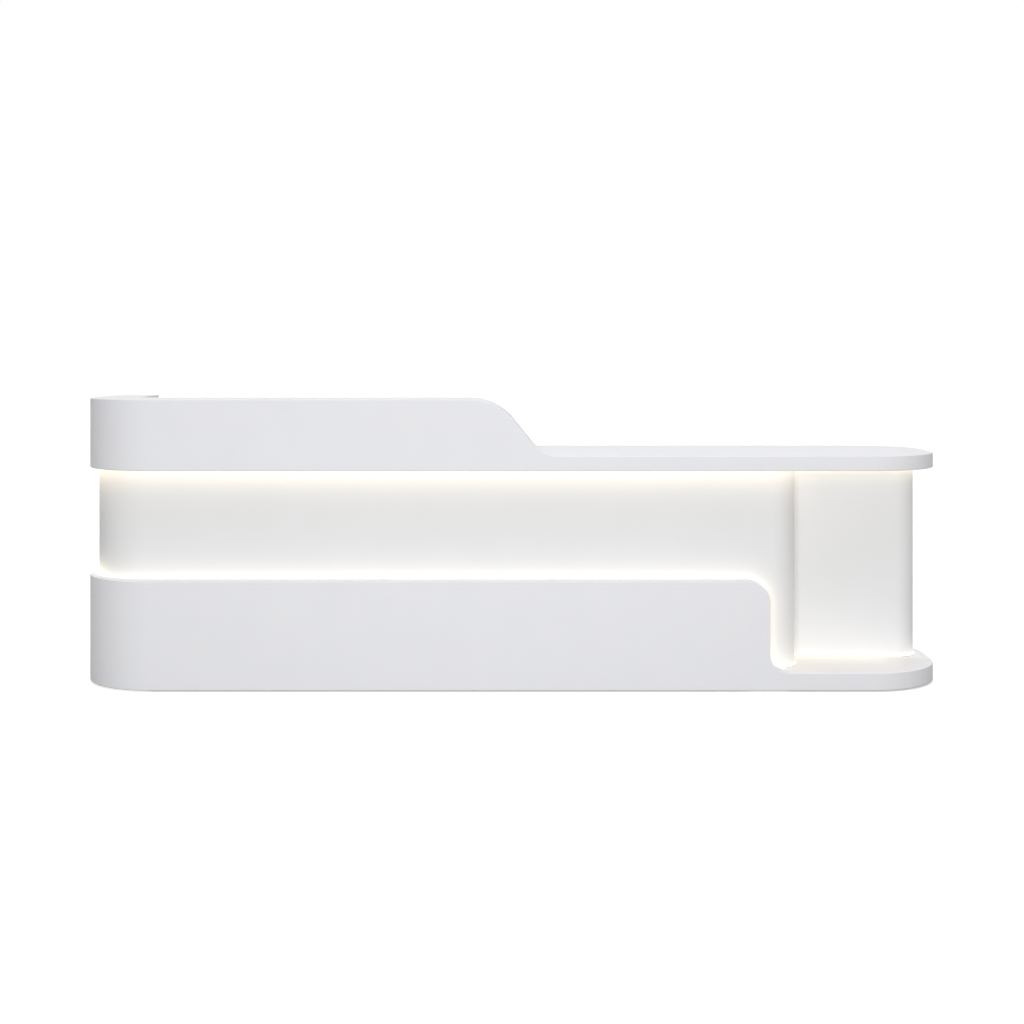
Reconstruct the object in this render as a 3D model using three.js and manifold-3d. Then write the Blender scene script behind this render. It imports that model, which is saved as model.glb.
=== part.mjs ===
// White reception desk with light lines: a swooping upper band, a recessed panel, a stepped plinth
// and a pedestal, with drawers and a cupboard on the staff side.
// Millimetres, +Z up, +X to the visitor's right. The visitor stands on the -Y side.
// Plan outlines are given as [x, depth], where depth runs from the front plane to the staff side.

import * as THREE from 'three';
import { mergeVertices } from 'three/addons/utils/BufferGeometryUtils.js';
import Module from 'manifold-3d';

const wasm = await Module();
wasm.setup();

// Overall sizes
const deskWidth = 3000;
const deskDepth = 600;
const deskHeight = 1000;
const frontCornerRadius = 260;
const backCornerRadius = 210;

// Heights of the layers
const glideHeight = 4;
const ledgeTop = 65;
const plinthTop = 377;
const bandBottom = 755;
const lowCounterTop = 807;
const worktopTop = 750;

// Swoop of the upper band, from the transaction ledge down to the low counter
const swoopLead = 144;
const swoopUpperRadius = 194;
const swoopLowerRadius = 113;
const swoopSlope = 51.2;

// Step of the plinth, from its rim down to the low ledge
const stepSetback = 182;
const stepUpperRadius = 72;
const stepLowerRadius = 65;
const stepSlope = 90;

// Transaction ledge, its leg along the left end, and the low counter's lap behind the swoop
const skin = 12;
const transactionDepth = 240;
const endLedgeWidth = 160;
const wellCornerRadius = 40;
const counterLap = 118;

// Recessed panel
const panelThickness = 18;
const panelFrontInset = 80;
const panelSideInset = 25;
const panelFrontRadius = 200;
const panelEndRadius = 90;

// Light slot beside the panel, its strip and its carrier
const slotWidth = 8;
const stripRecess = 2;
const stripHeight = 8;
const carrierWidth = 12;
const carrierHeight = 10;
const lineHeight = 4;

// Pedestal and the niche that it stands in
const nicheWidth = 506;
const pedestalFront = 285;
const pedestalBack = 540;
const pedestalSideInset = 39;
const pedestalRadius = 78;
const pedestalInnerRadius = 8;
const pedestalWall = 18;

// Staff side
const boardThickness = 18;
const worktopThickness = 25;
const worktopBack = 590;
const cleatDepth = 40;
const cleatHeight = 24;
const battenHeight = 40;
const bracketReach = 120;
const bracketLift = 88;
const bracketWeb = 30;
const bracketThickness = 12;
const bracketPlaces = [500, 1000];
const grommetPlace = [850, 175];
const grommetHoleRadius = 30;
const grommetWall = 4;
const grommetFlange = 8;
const grommetFlangeHeight = 3;

// Storage block under the low counter, from a little left of the counter's joint to the panel's end
const storageLead = 20;
const storageBackDepth = 172;
const storageBackThickness = 8;
const carcassBack = 545;
const storageBase = 65;
const kickDepth = 480;
const drawerBayWidth = 400;
const shelfHeight = 400;
const shelfSetback = 14;
const frontThickness = 18;
const frontBottom = 68;
const frontTop = 750;
const frontReveal = 3;
const upperDrawerHeight = 150;
const middleDrawerHeight = 200;

// Drawer boxes and their runners
const boxWall = 12;
const boxFloor = 8;
const boxRise = 25;
const boxHeadroom = 35;
const boxBackDepth = 190;
const runnerGap = 13;
const runnerHeight = 45;
const runnerSheet = 1.5;
const runnerLip = 12;
const runnerLength = 335;
const runnerSetback = 10;
const railPlay = 2;
const runnerRise = 20;

// Pulls, hinges, driver and glides
const pullLength = 140;
const pullReach = 32;
const pullBar = 10;
const pullHeight = 12;
const pullDrop = 45;
const doorPullInset = 40;
const hingeAxisOut = 5.5;
const hingeAxisBack = 3;
const hingeKnuckleRadius = 3.8;
const hingePinRadius = 1.8;
const hingeLeafHeight = 25;
const hingeLeafSheet = 1.5;
const hingeRoom = 14;
const hingeEndDistance = 100;
const driverLength = 160;
const driverHeight = 60;
const driverDepth = 38;
const driverFoot = 14;
const driverFootSheet = 3;
const driverRise = 560;
const glideRadius = 9;

// Gaps between pieces
const bondGap = 0.3;
const slotPlay = 0.4;
const pinPlay = 0.3;

// Roundness of the arcs, in degrees for each facet, and of the turned pieces
const facetAngle = 6;
const roundSides = 24;

// Finishes
const finish = (color, roughness, metalness) => {
  return new THREE.MeshStandardMaterial({ color, roughness, metalness });
};
const solidSurface = finish(0xe6e6ea, 0.35, 0);
const lacquer = finish(0xe8e8ea, 0.4, 0);
const opal = new THREE.MeshStandardMaterial({ color: 0xfffaf0, roughness: 0.5, emissive: 0xfff1dc });
const melamine = finish(0xdedede, 0.5, 0);
const plywood = finish(0xc9b08a, 0.7, 0);
const aluminium = finish(0xb9bcc0, 0.35, 0.9);
const steel = finish(0xa8abb0, 0.3, 1);
const blackPlastic = finish(0x2b2b2d, 0.6, 0);

// Outlines
const arc = (cx, cy, radius, from, to) => {
  const steps = Math.max(1, Math.ceil(Math.abs(to - from) / facetAngle));
  return Array.from({ length: steps + 1 }, (_, i) => {
    const angle = THREE.MathUtils.degToRad(from + ((to - from) * i) / steps);
    return [cx + radius * Math.cos(angle), cy + radius * Math.sin(angle)];
  });
};

const shapeOf = (points) => {
  const shortest = 1e-3;
  const apart = (a, b) => Math.hypot(a[0] - b[0], a[1] - b[1]) > shortest;
  const clean = points.filter((p, i) => apart(p, points[(i + 1) % points.length]));
  return new THREE.Shape(clean.map(([x, y]) => new THREE.Vector2(x, y)));
};

// Prisms of an outline, standing up, running back from the front, or running along the width
const prism = (points, length) => {
  return new THREE.ExtrudeGeometry(shapeOf(points), { depth: length, bevelEnabled: false });
};

const upright = (plan, low, high) => prism(plan, high - low).translate(0, -deskDepth / 2, low);

const frontToBack = (elevation, near, far) => {
  return prism(elevation, far - near).rotateX(Math.PI / 2).translate(0, far - deskDepth / 2, 0);
};

const leftToRight = (section, left, right) => {
  const turn = new THREE.Matrix4().makeBasis(
    new THREE.Vector3(0, 1, 0),
    new THREE.Vector3(0, 0, 1),
    new THREE.Vector3(1, 0, 0),
  );
  return prism(section, right - left).applyMatrix4(turn).translate(left, -deskDepth / 2, 0);
};

const block = (left, right, near, far, low, high) => {
  return new THREE.BoxGeometry(right - left, far - near, high - low).translate(
    (left + right) / 2,
    (near + far - deskDepth) / 2,
    (low + high) / 2,
  );
};

const rod = (x, depth, radius, low, high) => {
  return new THREE.CylinderGeometry(radius, radius, high - low, roundSides)
    .rotateX(Math.PI / 2)
    .translate(x, depth - deskDepth / 2, (low + high) / 2);
};

// Joining and cutting
const solid = (geometry) => {
  const bare = geometry.clone();
  bare.deleteAttribute('normal');
  bare.deleteAttribute('uv');
  const merged = mergeVertices(bare);
  const mesh = new wasm.Mesh({
    numProp: 3,
    vertProperties: new Float32Array(merged.attributes.position.array),
    triVerts: new Uint32Array(merged.index.array),
  });
  return new wasm.Manifold(mesh);
};

const surfaceOf = (body) => {
  const { vertProperties, triVerts } = body.getMesh();
  const geometry = new THREE.BufferGeometry();
  geometry.setAttribute('position', new THREE.BufferAttribute(vertProperties, 3));
  geometry.setIndex(new THREE.BufferAttribute(triVerts, 1));
  geometry.computeVertexNormals();
  return geometry;
};

// Places along the width
const leftFace = -deskWidth / 2;
const rightFace = deskWidth / 2;
const wellLeft = leftFace + endLedgeWidth;
const swoopStart = -swoopLead;
const panelRight = rightFace - nicheWidth;
const stepStart = panelRight - stepSetback;
const pedestalRight = rightFace - pedestalSideInset;
const storageRight = panelRight - panelThickness - bondGap;

const desk = new THREE.Group();

const add = (name, shape, material) => {
  const geometry = shape.isBufferGeometry ? shape : surfaceOf(shape);
  const mesh = new THREE.Mesh(geometry, material);
  mesh.name = name;
  desk.add(mesh);
};

// S line of a step: level, round over, slope, round out, level. Offset lies below and behind it.
// Where the drop is too small for the slope, the two rounds lean less and meet with no straight between.
const stepLine = ({ start, high, low, upperRadius, lowerRadius, slope }, offset = 0) => {
  const drop = high - low;
  const radii = upperRadius + lowerRadius;
  const steepest = Math.acos(Math.max(-1, 1 - drop / radii));
  const angle = Math.min(THREE.MathUtils.degToRad(slope), steepest);
  const lean = THREE.MathUtils.radToDeg(angle);
  const straight = (drop - radii * (1 - Math.cos(angle))) / Math.sin(angle);
  const end = start + radii * Math.sin(angle) + straight * Math.cos(angle);
  const line = [
    [-deskWidth, high - offset],
    ...arc(start, high - upperRadius, upperRadius - offset, 90, 90 - lean),
    ...arc(end, low + lowerRadius, lowerRadius + offset, 270 - lean, 270),
  ];
  return { line, end };
};

const swoop = {
  start: swoopStart,
  high: deskHeight,
  low: lowCounterTop,
  upperRadius: swoopUpperRadius,
  lowerRadius: swoopLowerRadius,
  slope: swoopSlope,
};
const plinthStep = {
  start: stepStart,
  high: plinthTop,
  low: ledgeTop,
  upperRadius: stepUpperRadius,
  lowerRadius: stepLowerRadius,
  slope: stepSlope,
};
const counterJoint = stepLine(swoop).end;
const lapLeft = counterJoint - counterLap;
const storageLeft = counterJoint - storageLead;
const ledgeJoint = stepLine(plinthStep).end;

// Everything below an S line, as a prism right through the desk
const below = (step, offset, floor, right) => {
  const { line } = stepLine(step, offset);
  const level = step.low - offset;
  const elevation = [...line, [right, level], [right, floor], [-deskWidth, floor]];
  return solid(frontToBack(elevation, -deskDepth, 2 * deskDepth));
};

// Plan tracks. The outer skin and the panel both run from the back of the left end, round it, to the front.
// At the back they share one corner, as round as the leg of the ledge lets it be.
const panelBackEnd = wellLeft - skin - bondGap;
const panelLegEnd = carcassBack - hingeRoom;
const leftBackRadius = panelBackEnd - leftFace;

const leftBackCorner = (inset) => {
  return arc(leftFace + leftBackRadius, deskDepth - leftBackRadius, leftBackRadius - inset, 90, 180);
};

const outerTrack = (inset, start) => [
  [start, deskDepth - inset],
  ...leftBackCorner(inset),
  ...arc(leftFace + frontCornerRadius, frontCornerRadius, frontCornerRadius - inset, 180, 270),
];

const panelLeftTrack = (offset) => {
  const centre = [leftFace + panelSideInset + panelFrontRadius, panelFrontInset + panelFrontRadius];
  return [
    ...leftBackCorner(panelSideInset - offset),
    ...arc(...centre, panelFrontRadius + offset, 180, 270),
  ];
};

const panelEndCorner = (offset) => {
  const centre = [panelRight - panelEndRadius, panelFrontInset + panelEndRadius];
  return arc(...centre, panelEndRadius + offset, 270, 360);
};

const panelTrack = (offset) => [
  ...panelLeftTrack(offset),
  ...panelEndCorner(offset),
  [panelRight + offset, panelLegEnd],
];

const stripAlongPanel = (from, to) => [...panelTrack(to), ...panelTrack(from).reverse()];

// Rounded right end that the low counter and the low ledge share
const rightEnd = (inset) => [
  ...arc(rightFace - frontCornerRadius, frontCornerRadius, frontCornerRadius - inset, 270, 360),
  ...arc(rightFace - backCornerRadius, deskDepth - backCornerRadius, backCornerRadius - inset, 0, 90),
];

const overrun = 1;

// Upper band: bent fascia, transaction ledge that swoops down, and soffit flange. An inner wall closes
// its leg along the left end, and a rib closes the foot of the swoop where the low counter laps it.
const counterShell = () => {
  const ledgePlan = [
    ...outerTrack(0, wellLeft),
    [counterJoint, 0],
    [counterJoint, transactionDepth],
    ...arc(wellLeft + wellCornerRadius, transactionDepth + wellCornerRadius, wellCornerRadius, 270, 180),
  ];
  const right = counterJoint + overrun;
  const pastWell = transactionDepth + wellCornerRadius + overrun;
  const ribRight = storageLeft - bondGap;
  const ribNear = transactionDepth - skin;
  const openSide = [
    [right, pastWell],
    [ribRight, pastWell],
    [ribRight, ribNear],
    [lapLeft, ribNear],
    [lapLeft, pastWell],
  ];
  const innerWall = wellLeft - skin;
  const hollowPlan = [...outerTrack(skin, innerWall), [right, skin], ...openSide, [innerWall, pastWell]];
  const slotEdge = panelFrontInset - slotWidth;
  const roomPlan = [...panelLeftTrack(slotWidth), [right, slotEdge], ...openSide, [panelBackEnd, pastWell]];
  const flangeTop = bandBottom + skin;
  const body = solid(upright(ledgePlan, bandBottom, deskHeight)).intersect(below(swoop, 0, 0, right));
  const hollow = solid(upright(hollowPlan, flangeTop, deskHeight)).intersect(below(swoop, skin, 0, right));
  const room = solid(upright(roomPlan, bandBottom - overrun, flangeTop));
  add('counter_shell', body.subtract(hollow).subtract(room), solidSurface);
};

// Low counter: hollow slab with a built-up edge, open below where the storage block comes up into it.
// Behind the transaction ledge it laps on to the left, past the foot of the swoop.
const lowCounter = () => {
  const lapNear = transactionDepth + bondGap;
  const lapWall = lapLeft + skin;
  const openLeft = counterJoint - overrun;
  const plan = [
    [counterJoint, 0],
    ...rightEnd(0),
    [lapLeft, deskDepth],
    [lapLeft, lapNear],
    [counterJoint, lapNear],
  ];
  const openSide = [[lapWall, lapNear - overrun], [openLeft, lapNear - overrun]];
  const hollowPlan = [[openLeft, skin], ...rightEnd(skin), [lapWall, deskDepth - skin], ...openSide];
  const storageRoom = carcassBack + bondGap;
  const roomPlan = [
    [openLeft, panelFrontInset - slotWidth],
    ...panelEndCorner(slotWidth),
    [panelRight + slotWidth, storageRoom],
    [lapWall, storageRoom],
    ...openSide,
  ];
  const soffitTop = bandBottom + skin;
  const hollow = solid(upright(hollowPlan, soffitTop, lowCounterTop - skin));
  const room = solid(upright(roomPlan, bandBottom - overrun, soffitTop));
  const body = solid(upright(plan, bandBottom, lowCounterTop)).subtract(hollow).subtract(room);
  add('low_counter', body, solidSurface);
};

// Recessed panel, bent round the left end and round the notch, shaped to the swoop at its top
const frontPanel = () => {
  const plan = stripAlongPanel(-panelThickness, 0);
  const far = deskWidth;
  const underSkin = below(swoop, skin + bondGap, 0, far);
  const standing = solid(upright(plan, glideHeight, deskHeight)).intersect(underSkin);
  const overLedge = solid(block(ledgeJoint - bondGap, far, 0, deskDepth, 0, ledgeTop));
  add('front_panel', standing.subtract(overLedge), lacquer);
};

// Plinth: bent skin whose top edge steps down to the low ledge, with a rim flange along that edge
const plinthShell = () => {
  const skinPlan = [
    ...outerTrack(0, wellLeft),
    [ledgeJoint, 0],
    [ledgeJoint, panelFrontInset],
    [wellLeft, panelFrontInset],
  ];
  const right = ledgeJoint + overrun;
  const hollowPlan = [
    ...outerTrack(skin, wellLeft + overrun),
    [right, skin],
    [right, panelFrontInset + overrun],
    [wellLeft + overrun, panelFrontInset + overrun],
  ];
  const roomFar = deskDepth - skin;
  const roomPlan = [
    ...panelLeftTrack(slotWidth),
    ...panelEndCorner(slotWidth),
    [panelRight + slotWidth, roomFar],
    [panelBackEnd, roomFar],
  ];
  const body = solid(upright(skinPlan, glideHeight, plinthTop)).intersect(below(plinthStep, 0, 0, right));
  const hollow = solid(upright(hollowPlan, 0, plinthTop)).intersect(below(plinthStep, skin, 0, right));
  const room = solid(upright(roomPlan, 0, deskHeight));
  add('plinth_shell', body.subtract(hollow).subtract(room), solidSurface);
};

// Low ledge that carries the pedestal
const baseLedge = () => {
  const plan = [[ledgeJoint, 0], ...rightEnd(0), [ledgeJoint, deskDepth]];
  add('base_ledge', upright(plan, glideHeight, ledgeTop), solidSurface);
};

// Pedestal: rounded tube between the low ledge and the soffit
const pedestalLeft = panelRight + bondGap;

const pedestalRightEnd = (offset) => {
  const centre = pedestalRight - pedestalRadius;
  return [
    ...arc(centre, pedestalFront + pedestalRadius, pedestalRadius + offset, 270, 360),
    ...arc(centre, pedestalBack - pedestalRadius, pedestalRadius + offset, 0, 90),
  ];
};

const pedestal = () => {
  const corner = pedestalInnerRadius;
  const outline = [
    ...arc(pedestalLeft + corner, pedestalFront + corner, corner, 180, 270),
    ...pedestalRightEnd(0),
    ...arc(pedestalLeft + corner, pedestalBack - corner, corner, 90, 180),
  ];
  const boreLeft = pedestalLeft + pedestalWall;
  const bore = [
    [boreLeft, pedestalFront + pedestalWall],
    ...pedestalRightEnd(-pedestalWall),
    [boreLeft, pedestalBack - pedestalWall],
  ];
  const tube = shapeOf(outline);
  tube.holes.push(shapeOf(bore));
  const height = bandBottom - ledgeTop;
  const geometry = new THREE.ExtrudeGeometry(tube, { depth: height, bevelEnabled: false });
  add('pedestal_column', geometry.translate(0, -deskDepth / 2, ledgeTop), lacquer);
};

// Light lines: opal strips in the slots and round the pedestal, and the carriers behind the strips
const slotStrip = () => stripAlongPanel(slotPlay, slotWidth - slotPlay);
const carrierStrip = () => stripAlongPanel(slotPlay, carrierWidth);

const pedestalRound = (offset) => [
  ...pedestalRightEnd(offset),
  [panelRight + slotWidth, pedestalBack + offset],
];

const lightLines = () => {
  const soffitStrip = bandBottom + stripRecess;
  const soffitCarrier = bandBottom + skin + bondGap;
  add('soffit_led_diffuser', upright(slotStrip(), soffitStrip, soffitStrip + stripHeight), opal);
  add('soffit_led_channel', upright(carrierStrip(), soffitCarrier, soffitCarrier + carrierHeight), aluminium);

  const right = ledgeJoint - bondGap;
  const follow = (plan, offset, thickness) => {
    const rim = below(plinthStep, offset, 0, right);
    const core = below(plinthStep, offset + thickness, 0, right + overrun);
    return solid(upright(plan, 0, plinthTop)).intersect(rim.subtract(core));
  };
  add('plinth_led_diffuser', follow(slotStrip(), stripRecess, stripHeight), opal);
  add('plinth_led_channel', follow(carrierStrip(), skin + bondGap, carrierHeight), aluminium);

  const outer = slotWidth - slotPlay;
  const footLine = (offset) => [
    [0, panelFrontInset - offset],
    ...panelEndCorner(offset),
    [panelRight + offset, pedestalFront - offset],
    ...pedestalRound(offset),
  ];
  const headLine = (offset) => [[panelRight + slotWidth, pedestalFront - offset], ...pedestalRound(offset)];
  const between = (line) => [...line(outer), ...line(slotPlay).reverse()];
  const onLedge = solid(block(ledgeJoint, deskWidth, 0, deskDepth, 0, plinthTop));
  const foot = solid(upright(between(footLine), ledgeTop, ledgeTop + lineHeight)).intersect(onLedge);
  add('pedestal_foot_diffuser', foot, opal);
  add('pedestal_head_diffuser', upright(between(headLine), bandBottom - lineHeight, bandBottom), opal);
};

// Staff worktop, what carries it, and the gussets under the transaction ledge
const panelBackFace = panelFrontInset + panelThickness + bondGap;
const worktopUnderside = worktopTop - worktopThickness;
const endPanelRight = panelBackEnd - bondGap;

const staffSide = () => {
  const inside = panelThickness + bondGap;
  const endPanelFar = deskDepth - panelSideInset - inside;
  const right = storageLeft - bondGap;
  const worktopPlan = [
    ...panelLeftTrack(-inside),
    [right, panelBackFace],
    [right, worktopBack],
    [panelBackEnd + bondGap, worktopBack],
    [panelBackEnd + bondGap, endPanelFar],
  ];
  const [grommetReach, grommetDepth] = grommetPlace;
  const grommetX = leftFace + grommetReach;
  const hole = rod(grommetX, grommetDepth, grommetHoleRadius, 0, deskHeight);
  const board = solid(upright(worktopPlan, worktopUnderside, worktopTop)).subtract(solid(hole));
  add('staff_worktop', board, melamine);

  const carrierTop = worktopUnderside - bondGap;
  const endPanelLeft = endPanelRight - boardThickness;
  const endPanel = block(endPanelLeft, endPanelRight, panelBackFace, endPanelFar, glideHeight, carrierTop);
  add('left_end_panel', solid(endPanel).intersect(solid(upright(worktopPlan, 0, deskHeight))), melamine);
  const cleat = block(
    leftFace + panelSideInset + panelFrontRadius,
    right,
    panelBackFace,
    panelBackFace + cleatDepth,
    carrierTop - cleatHeight,
    carrierTop,
  );
  add('worktop_cleat', cleat, plywood);

  const sleeve = grommetHoleRadius - bondGap;
  const flangeBottom = worktopTop + bondGap;
  const ring = [
    [sleeve - grommetWall, worktopUnderside],
    [sleeve, worktopUnderside],
    [sleeve, flangeBottom],
    [sleeve + grommetFlange, flangeBottom],
    [sleeve + grommetFlange, flangeBottom + grommetFlangeHeight],
    [sleeve - grommetWall, flangeBottom + grommetFlangeHeight],
    [sleeve - grommetWall, worktopUnderside],
  ].map(([radius, height]) => new THREE.Vector2(radius, height));
  const grommet = new THREE.LatheGeometry(ring, roundSides).rotateX(Math.PI / 2);
  add('cable_grommet', grommet.translate(grommetX, grommetDepth - deskDepth / 2, 0), blackPlastic);

  const ledgeUnderside = deskHeight - skin - bondGap;
  const bracketFoot = worktopTop + bracketLift;
  const gusset = [
    [panelBackFace, ledgeUnderside],
    [panelBackFace, bracketFoot],
    [panelBackFace + bracketWeb, bracketFoot],
    [panelBackFace + bracketReach, ledgeUnderside - bracketWeb],
    [panelBackFace + bracketReach, ledgeUnderside],
  ];
  bracketPlaces.forEach((reach, i) => {
    const middle = leftFace + reach;
    const half = bracketThickness / 2;
    add(`ledge_bracket_${i + 1}`, leftToRight(gusset, middle - half, middle + half), steel);
  });

  const battenEnd = leftFace + frontCornerRadius;
  const batten = block(
    battenEnd,
    stepStart,
    skin + bondGap,
    panelFrontInset - bondGap,
    glideHeight,
    glideHeight + battenHeight,
  );
  add('plinth_batten', batten, plywood);
};

// Storage carcass
const bayLeft = storageLeft + boardThickness;
const dividerLeft = bayLeft + drawerBayWidth;
const cupboardLeft = dividerLeft + boardThickness;
const cupboardRight = storageRight - boardThickness;
const carcassTop = lowCounterTop - skin - bondGap;
const bottomLow = storageBase + bondGap;
const bottomHigh = bottomLow + boardThickness;
const storageBackFace = storageBackDepth + storageBackThickness + bondGap;

const storage = () => {
  const sideNear = storageBackDepth;
  const side = (left, low) => block(left, left + boardThickness, sideNear, carcassBack, low, carcassTop);
  add('storage_side_left', side(storageLeft, glideHeight), melamine);
  add('storage_side_right', side(cupboardRight, bottomLow), melamine);
  const dividerLow = bottomHigh + bondGap;
  const divider = block(dividerLeft, cupboardLeft, storageBackFace, carcassBack, dividerLow, carcassTop);
  add('storage_divider', divider, melamine);
  const inLeft = bayLeft + bondGap;
  const inRight = cupboardRight - bondGap;
  add('storage_bottom', block(inLeft, inRight, sideNear, carcassBack, bottomLow, bottomHigh), melamine);
  const back = block(
    inLeft,
    inRight,
    storageBackDepth,
    storageBackDepth + storageBackThickness,
    bottomHigh + bondGap,
    carcassTop,
  );
  add('storage_back', back, melamine);
  const kickRight = ledgeJoint - bondGap;
  const kick = block(inLeft, kickRight, kickDepth, kickDepth + boardThickness, glideHeight, storageBase);
  add('kick_board', kick, melamine);
  const shelf = block(
    cupboardLeft + bondGap,
    inRight,
    storageBackFace,
    carcassBack - shelfSetback,
    shelfHeight,
    shelfHeight + boardThickness,
  );
  add('cupboard_shelf', shelf, melamine);
};

// Bar pull on a front: two legs and a bar, as a plan outline or, for the door, as a side outline
const pullOutline = (start, face) => [
  [start, face],
  [start + pullBar, face],
  [start + pullBar, face + pullReach - pullBar],
  [start + pullLength - pullBar, face + pullReach - pullBar],
  [start + pullLength - pullBar, face],
  [start + pullLength, face],
  [start + pullLength, face + pullReach],
  [start, face + pullReach],
];

const frontNear = carcassBack + bondGap;
const frontFace = frontNear + frontThickness;
const pullFace = frontFace + bondGap;
const frontSplit = (dividerLeft + cupboardLeft) / 2;
const drawerFrontLeft = storageLeft + frontReveal / 2;
const drawerFrontRight = frontSplit - frontReveal / 2;

// Drawers, from the top down
const lowerDrawerHeight = frontTop - frontBottom - upperDrawerHeight - middleDrawerHeight - 2 * frontReveal;
const drawerHeights = [upperDrawerHeight, middleDrawerHeight, lowerDrawerHeight];

const runnerSection = (wallX, toward, rise) => {
  const sheet = toward * runnerSheet;
  const lip = toward * runnerLip;
  const top = rise + runnerHeight;
  return [
    [wallX, rise],
    [wallX + lip, rise],
    [wallX + lip, rise + runnerSheet],
    [wallX + sheet, rise + runnerSheet],
    [wallX + sheet, top - runnerSheet],
    [wallX + lip, top - runnerSheet],
    [wallX + lip, top],
    [wallX, top],
  ];
};

const drawer = (number, low, height) => {
  const name = `drawer_${number}`;
  const front = block(drawerFrontLeft, drawerFrontRight, frontNear, frontFace, low, low + height);
  add(`${name}_front`, front, lacquer);

  const left = bayLeft + runnerGap;
  const right = dividerLeft - runnerGap;
  const floor = low + boxRise;
  const rim = low + height - boxHeadroom;
  const far = frontNear - bondGap;
  const shell = solid(block(left, right, boxBackDepth, far, floor, rim));
  const inside = block(
    left + boxWall,
    right - boxWall,
    boxBackDepth + boxWall,
    far - boxWall,
    floor + boxFloor,
    rim + overrun,
  );
  add(`${name}_box`, shell.subtract(solid(inside)), plywood);

  const pullStart = (drawerFrontLeft + drawerFrontRight - pullLength) / 2;
  const pullLow = low + height - pullDrop;
  add(`${name}_pull`, upright(pullOutline(pullStart, pullFace), pullLow, pullLow + pullHeight), steel);

  const rise = floor + runnerRise;
  const runnerFar = carcassBack - runnerSetback;
  const runnerNear = runnerFar - runnerLength;
  const sides = {
    left: [bayLeft + bondGap, 1, left - bondGap],
    right: [dividerLeft - bondGap, -1, right + bondGap],
  };
  Object.entries(sides).forEach(([side, [wall, toward, box]]) => {
    const channel = frontToBack(runnerSection(wall, toward, rise), runnerNear, runnerFar);
    add(`${name}_runner_${side}`, channel, steel);
    const railWall = wall + toward * (runnerSheet + bondGap);
    const railLow = rise + runnerSheet + railPlay;
    const railHigh = rise + runnerHeight - runnerSheet - railPlay;
    const [x0, x1] = [Math.min(railWall, box), Math.max(railWall, box)];
    add(`${name}_rail_${side}`, block(x0, x1, runnerNear, runnerFar, railLow, railHigh), steel);
  });
};

const drawers = () => {
  let top = frontTop;
  drawerHeights.forEach((height, i) => {
    drawer(i + 1, top - height, height);
    top -= height + frontReveal;
  });
};

// Cupboard door on two lift-off hinges, and the driver of the light lines behind it
const doorRight = storageRight - frontReveal / 2;
const hingeX = doorRight + hingeAxisOut;
const hingeDepth = frontNear + hingeAxisBack;

const hinge = (name, low) => {
  const split = low + hingeLeafHeight;
  const high = split + bondGap + hingeLeafHeight;
  const leafIn = hingeX - hingeKnuckleRadius;
  const baseLeft = storageRight + bondGap;
  const basePlate = block(baseLeft, baseLeft + hingeLeafSheet, panelLegEnd + bondGap, hingeDepth, low, split);
  const base = solid(rod(hingeX, hingeDepth, hingeKnuckleRadius, low, split))
    .add(solid(basePlate))
    .add(solid(rod(hingeX, hingeDepth, hingePinRadius, low + overrun, high)));
  add(`${name}_base`, base, steel);
  const leafLow = split + bondGap;
  const leafPlate = block(doorRight + bondGap, leafIn + hingeLeafSheet, hingeDepth, frontFace, leafLow, high);
  const bore = rod(hingeX, hingeDepth, hingePinRadius + pinPlay, leafLow - overrun, high + overrun);
  const leaf = solid(rod(hingeX, hingeDepth, hingeKnuckleRadius, leafLow, high))
    .add(solid(leafPlate))
    .subtract(solid(bore));
  add(`${name}_leaf`, leaf, steel);
};

const cupboard = () => {
  const doorLeft = frontSplit + frontReveal / 2;
  add('door', block(doorLeft, doorRight, frontNear, frontFace, frontBottom, frontTop), lacquer);
  const pullLeft = doorLeft + doorPullInset;
  const pullTop = frontTop - pullDrop;
  const section = pullOutline(pullTop - pullLength, pullFace).map(([height, depth]) => [depth, height]);
  add('door_pull', leftToRight(section, pullLeft, pullLeft + pullHeight), steel);
  hinge('hinge_lower', frontBottom + hingeEndDistance);
  hinge('hinge_upper', frontTop - hingeEndDistance - 2 * hingeLeafHeight);

  const middle = (cupboardLeft + cupboardRight) / 2;
  const half = driverLength / 2;
  const footPlan = [
    [middle - half - driverFoot, storageBackFace],
    [middle + half + driverFoot, storageBackFace],
    [middle + half + driverFoot, storageBackFace + driverFootSheet],
    [middle + half, storageBackFace + driverFootSheet],
    [middle + half, storageBackFace + driverDepth],
    [middle - half, storageBackFace + driverDepth],
    [middle - half, storageBackFace + driverFootSheet],
    [middle - half - driverFoot, storageBackFace + driverFootSheet],
  ];
  add('led_driver', upright(footPlan, driverRise, driverRise + driverHeight), aluminium);
};

// Fixed glides, which lift the desk off the floor and leave a shadow gap
const glides = () => {
  const battenMiddle = (skin + panelFrontInset) / 2;
  const ledgeInset = frontCornerRadius / 2;
  const nearEdge = deskDepth - ledgeInset;
  const places = [
    [leftFace + frontCornerRadius + ledgeInset, battenMiddle],
    [0, battenMiddle],
    [endPanelRight - boardThickness / 2, carcassBack - ledgeInset],
    [storageLeft + boardThickness / 2, carcassBack - 2 * glideRadius],
    [rightFace - ledgeInset, nearEdge],
    [rightFace - ledgeInset, ledgeInset],
  ];
  places.forEach(([x, depth], i) => {
    add(`glide_${i + 1}`, rod(x, depth, glideRadius, 0, glideHeight), blackPlastic);
  });
};

counterShell();
lowCounter();
frontPanel();
plinthShell();
baseLedge();
pedestal();
lightLines();
staffSide();
storage();
drawers();
cupboard();
glides();

export default desk;
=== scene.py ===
"""Looks of a white reception desk with light lines, built around its CAD frame.

Visitors stand on the -Y side and staff on the +Y side. Lengths are in metres, in the frame's axes.
"""

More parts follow.
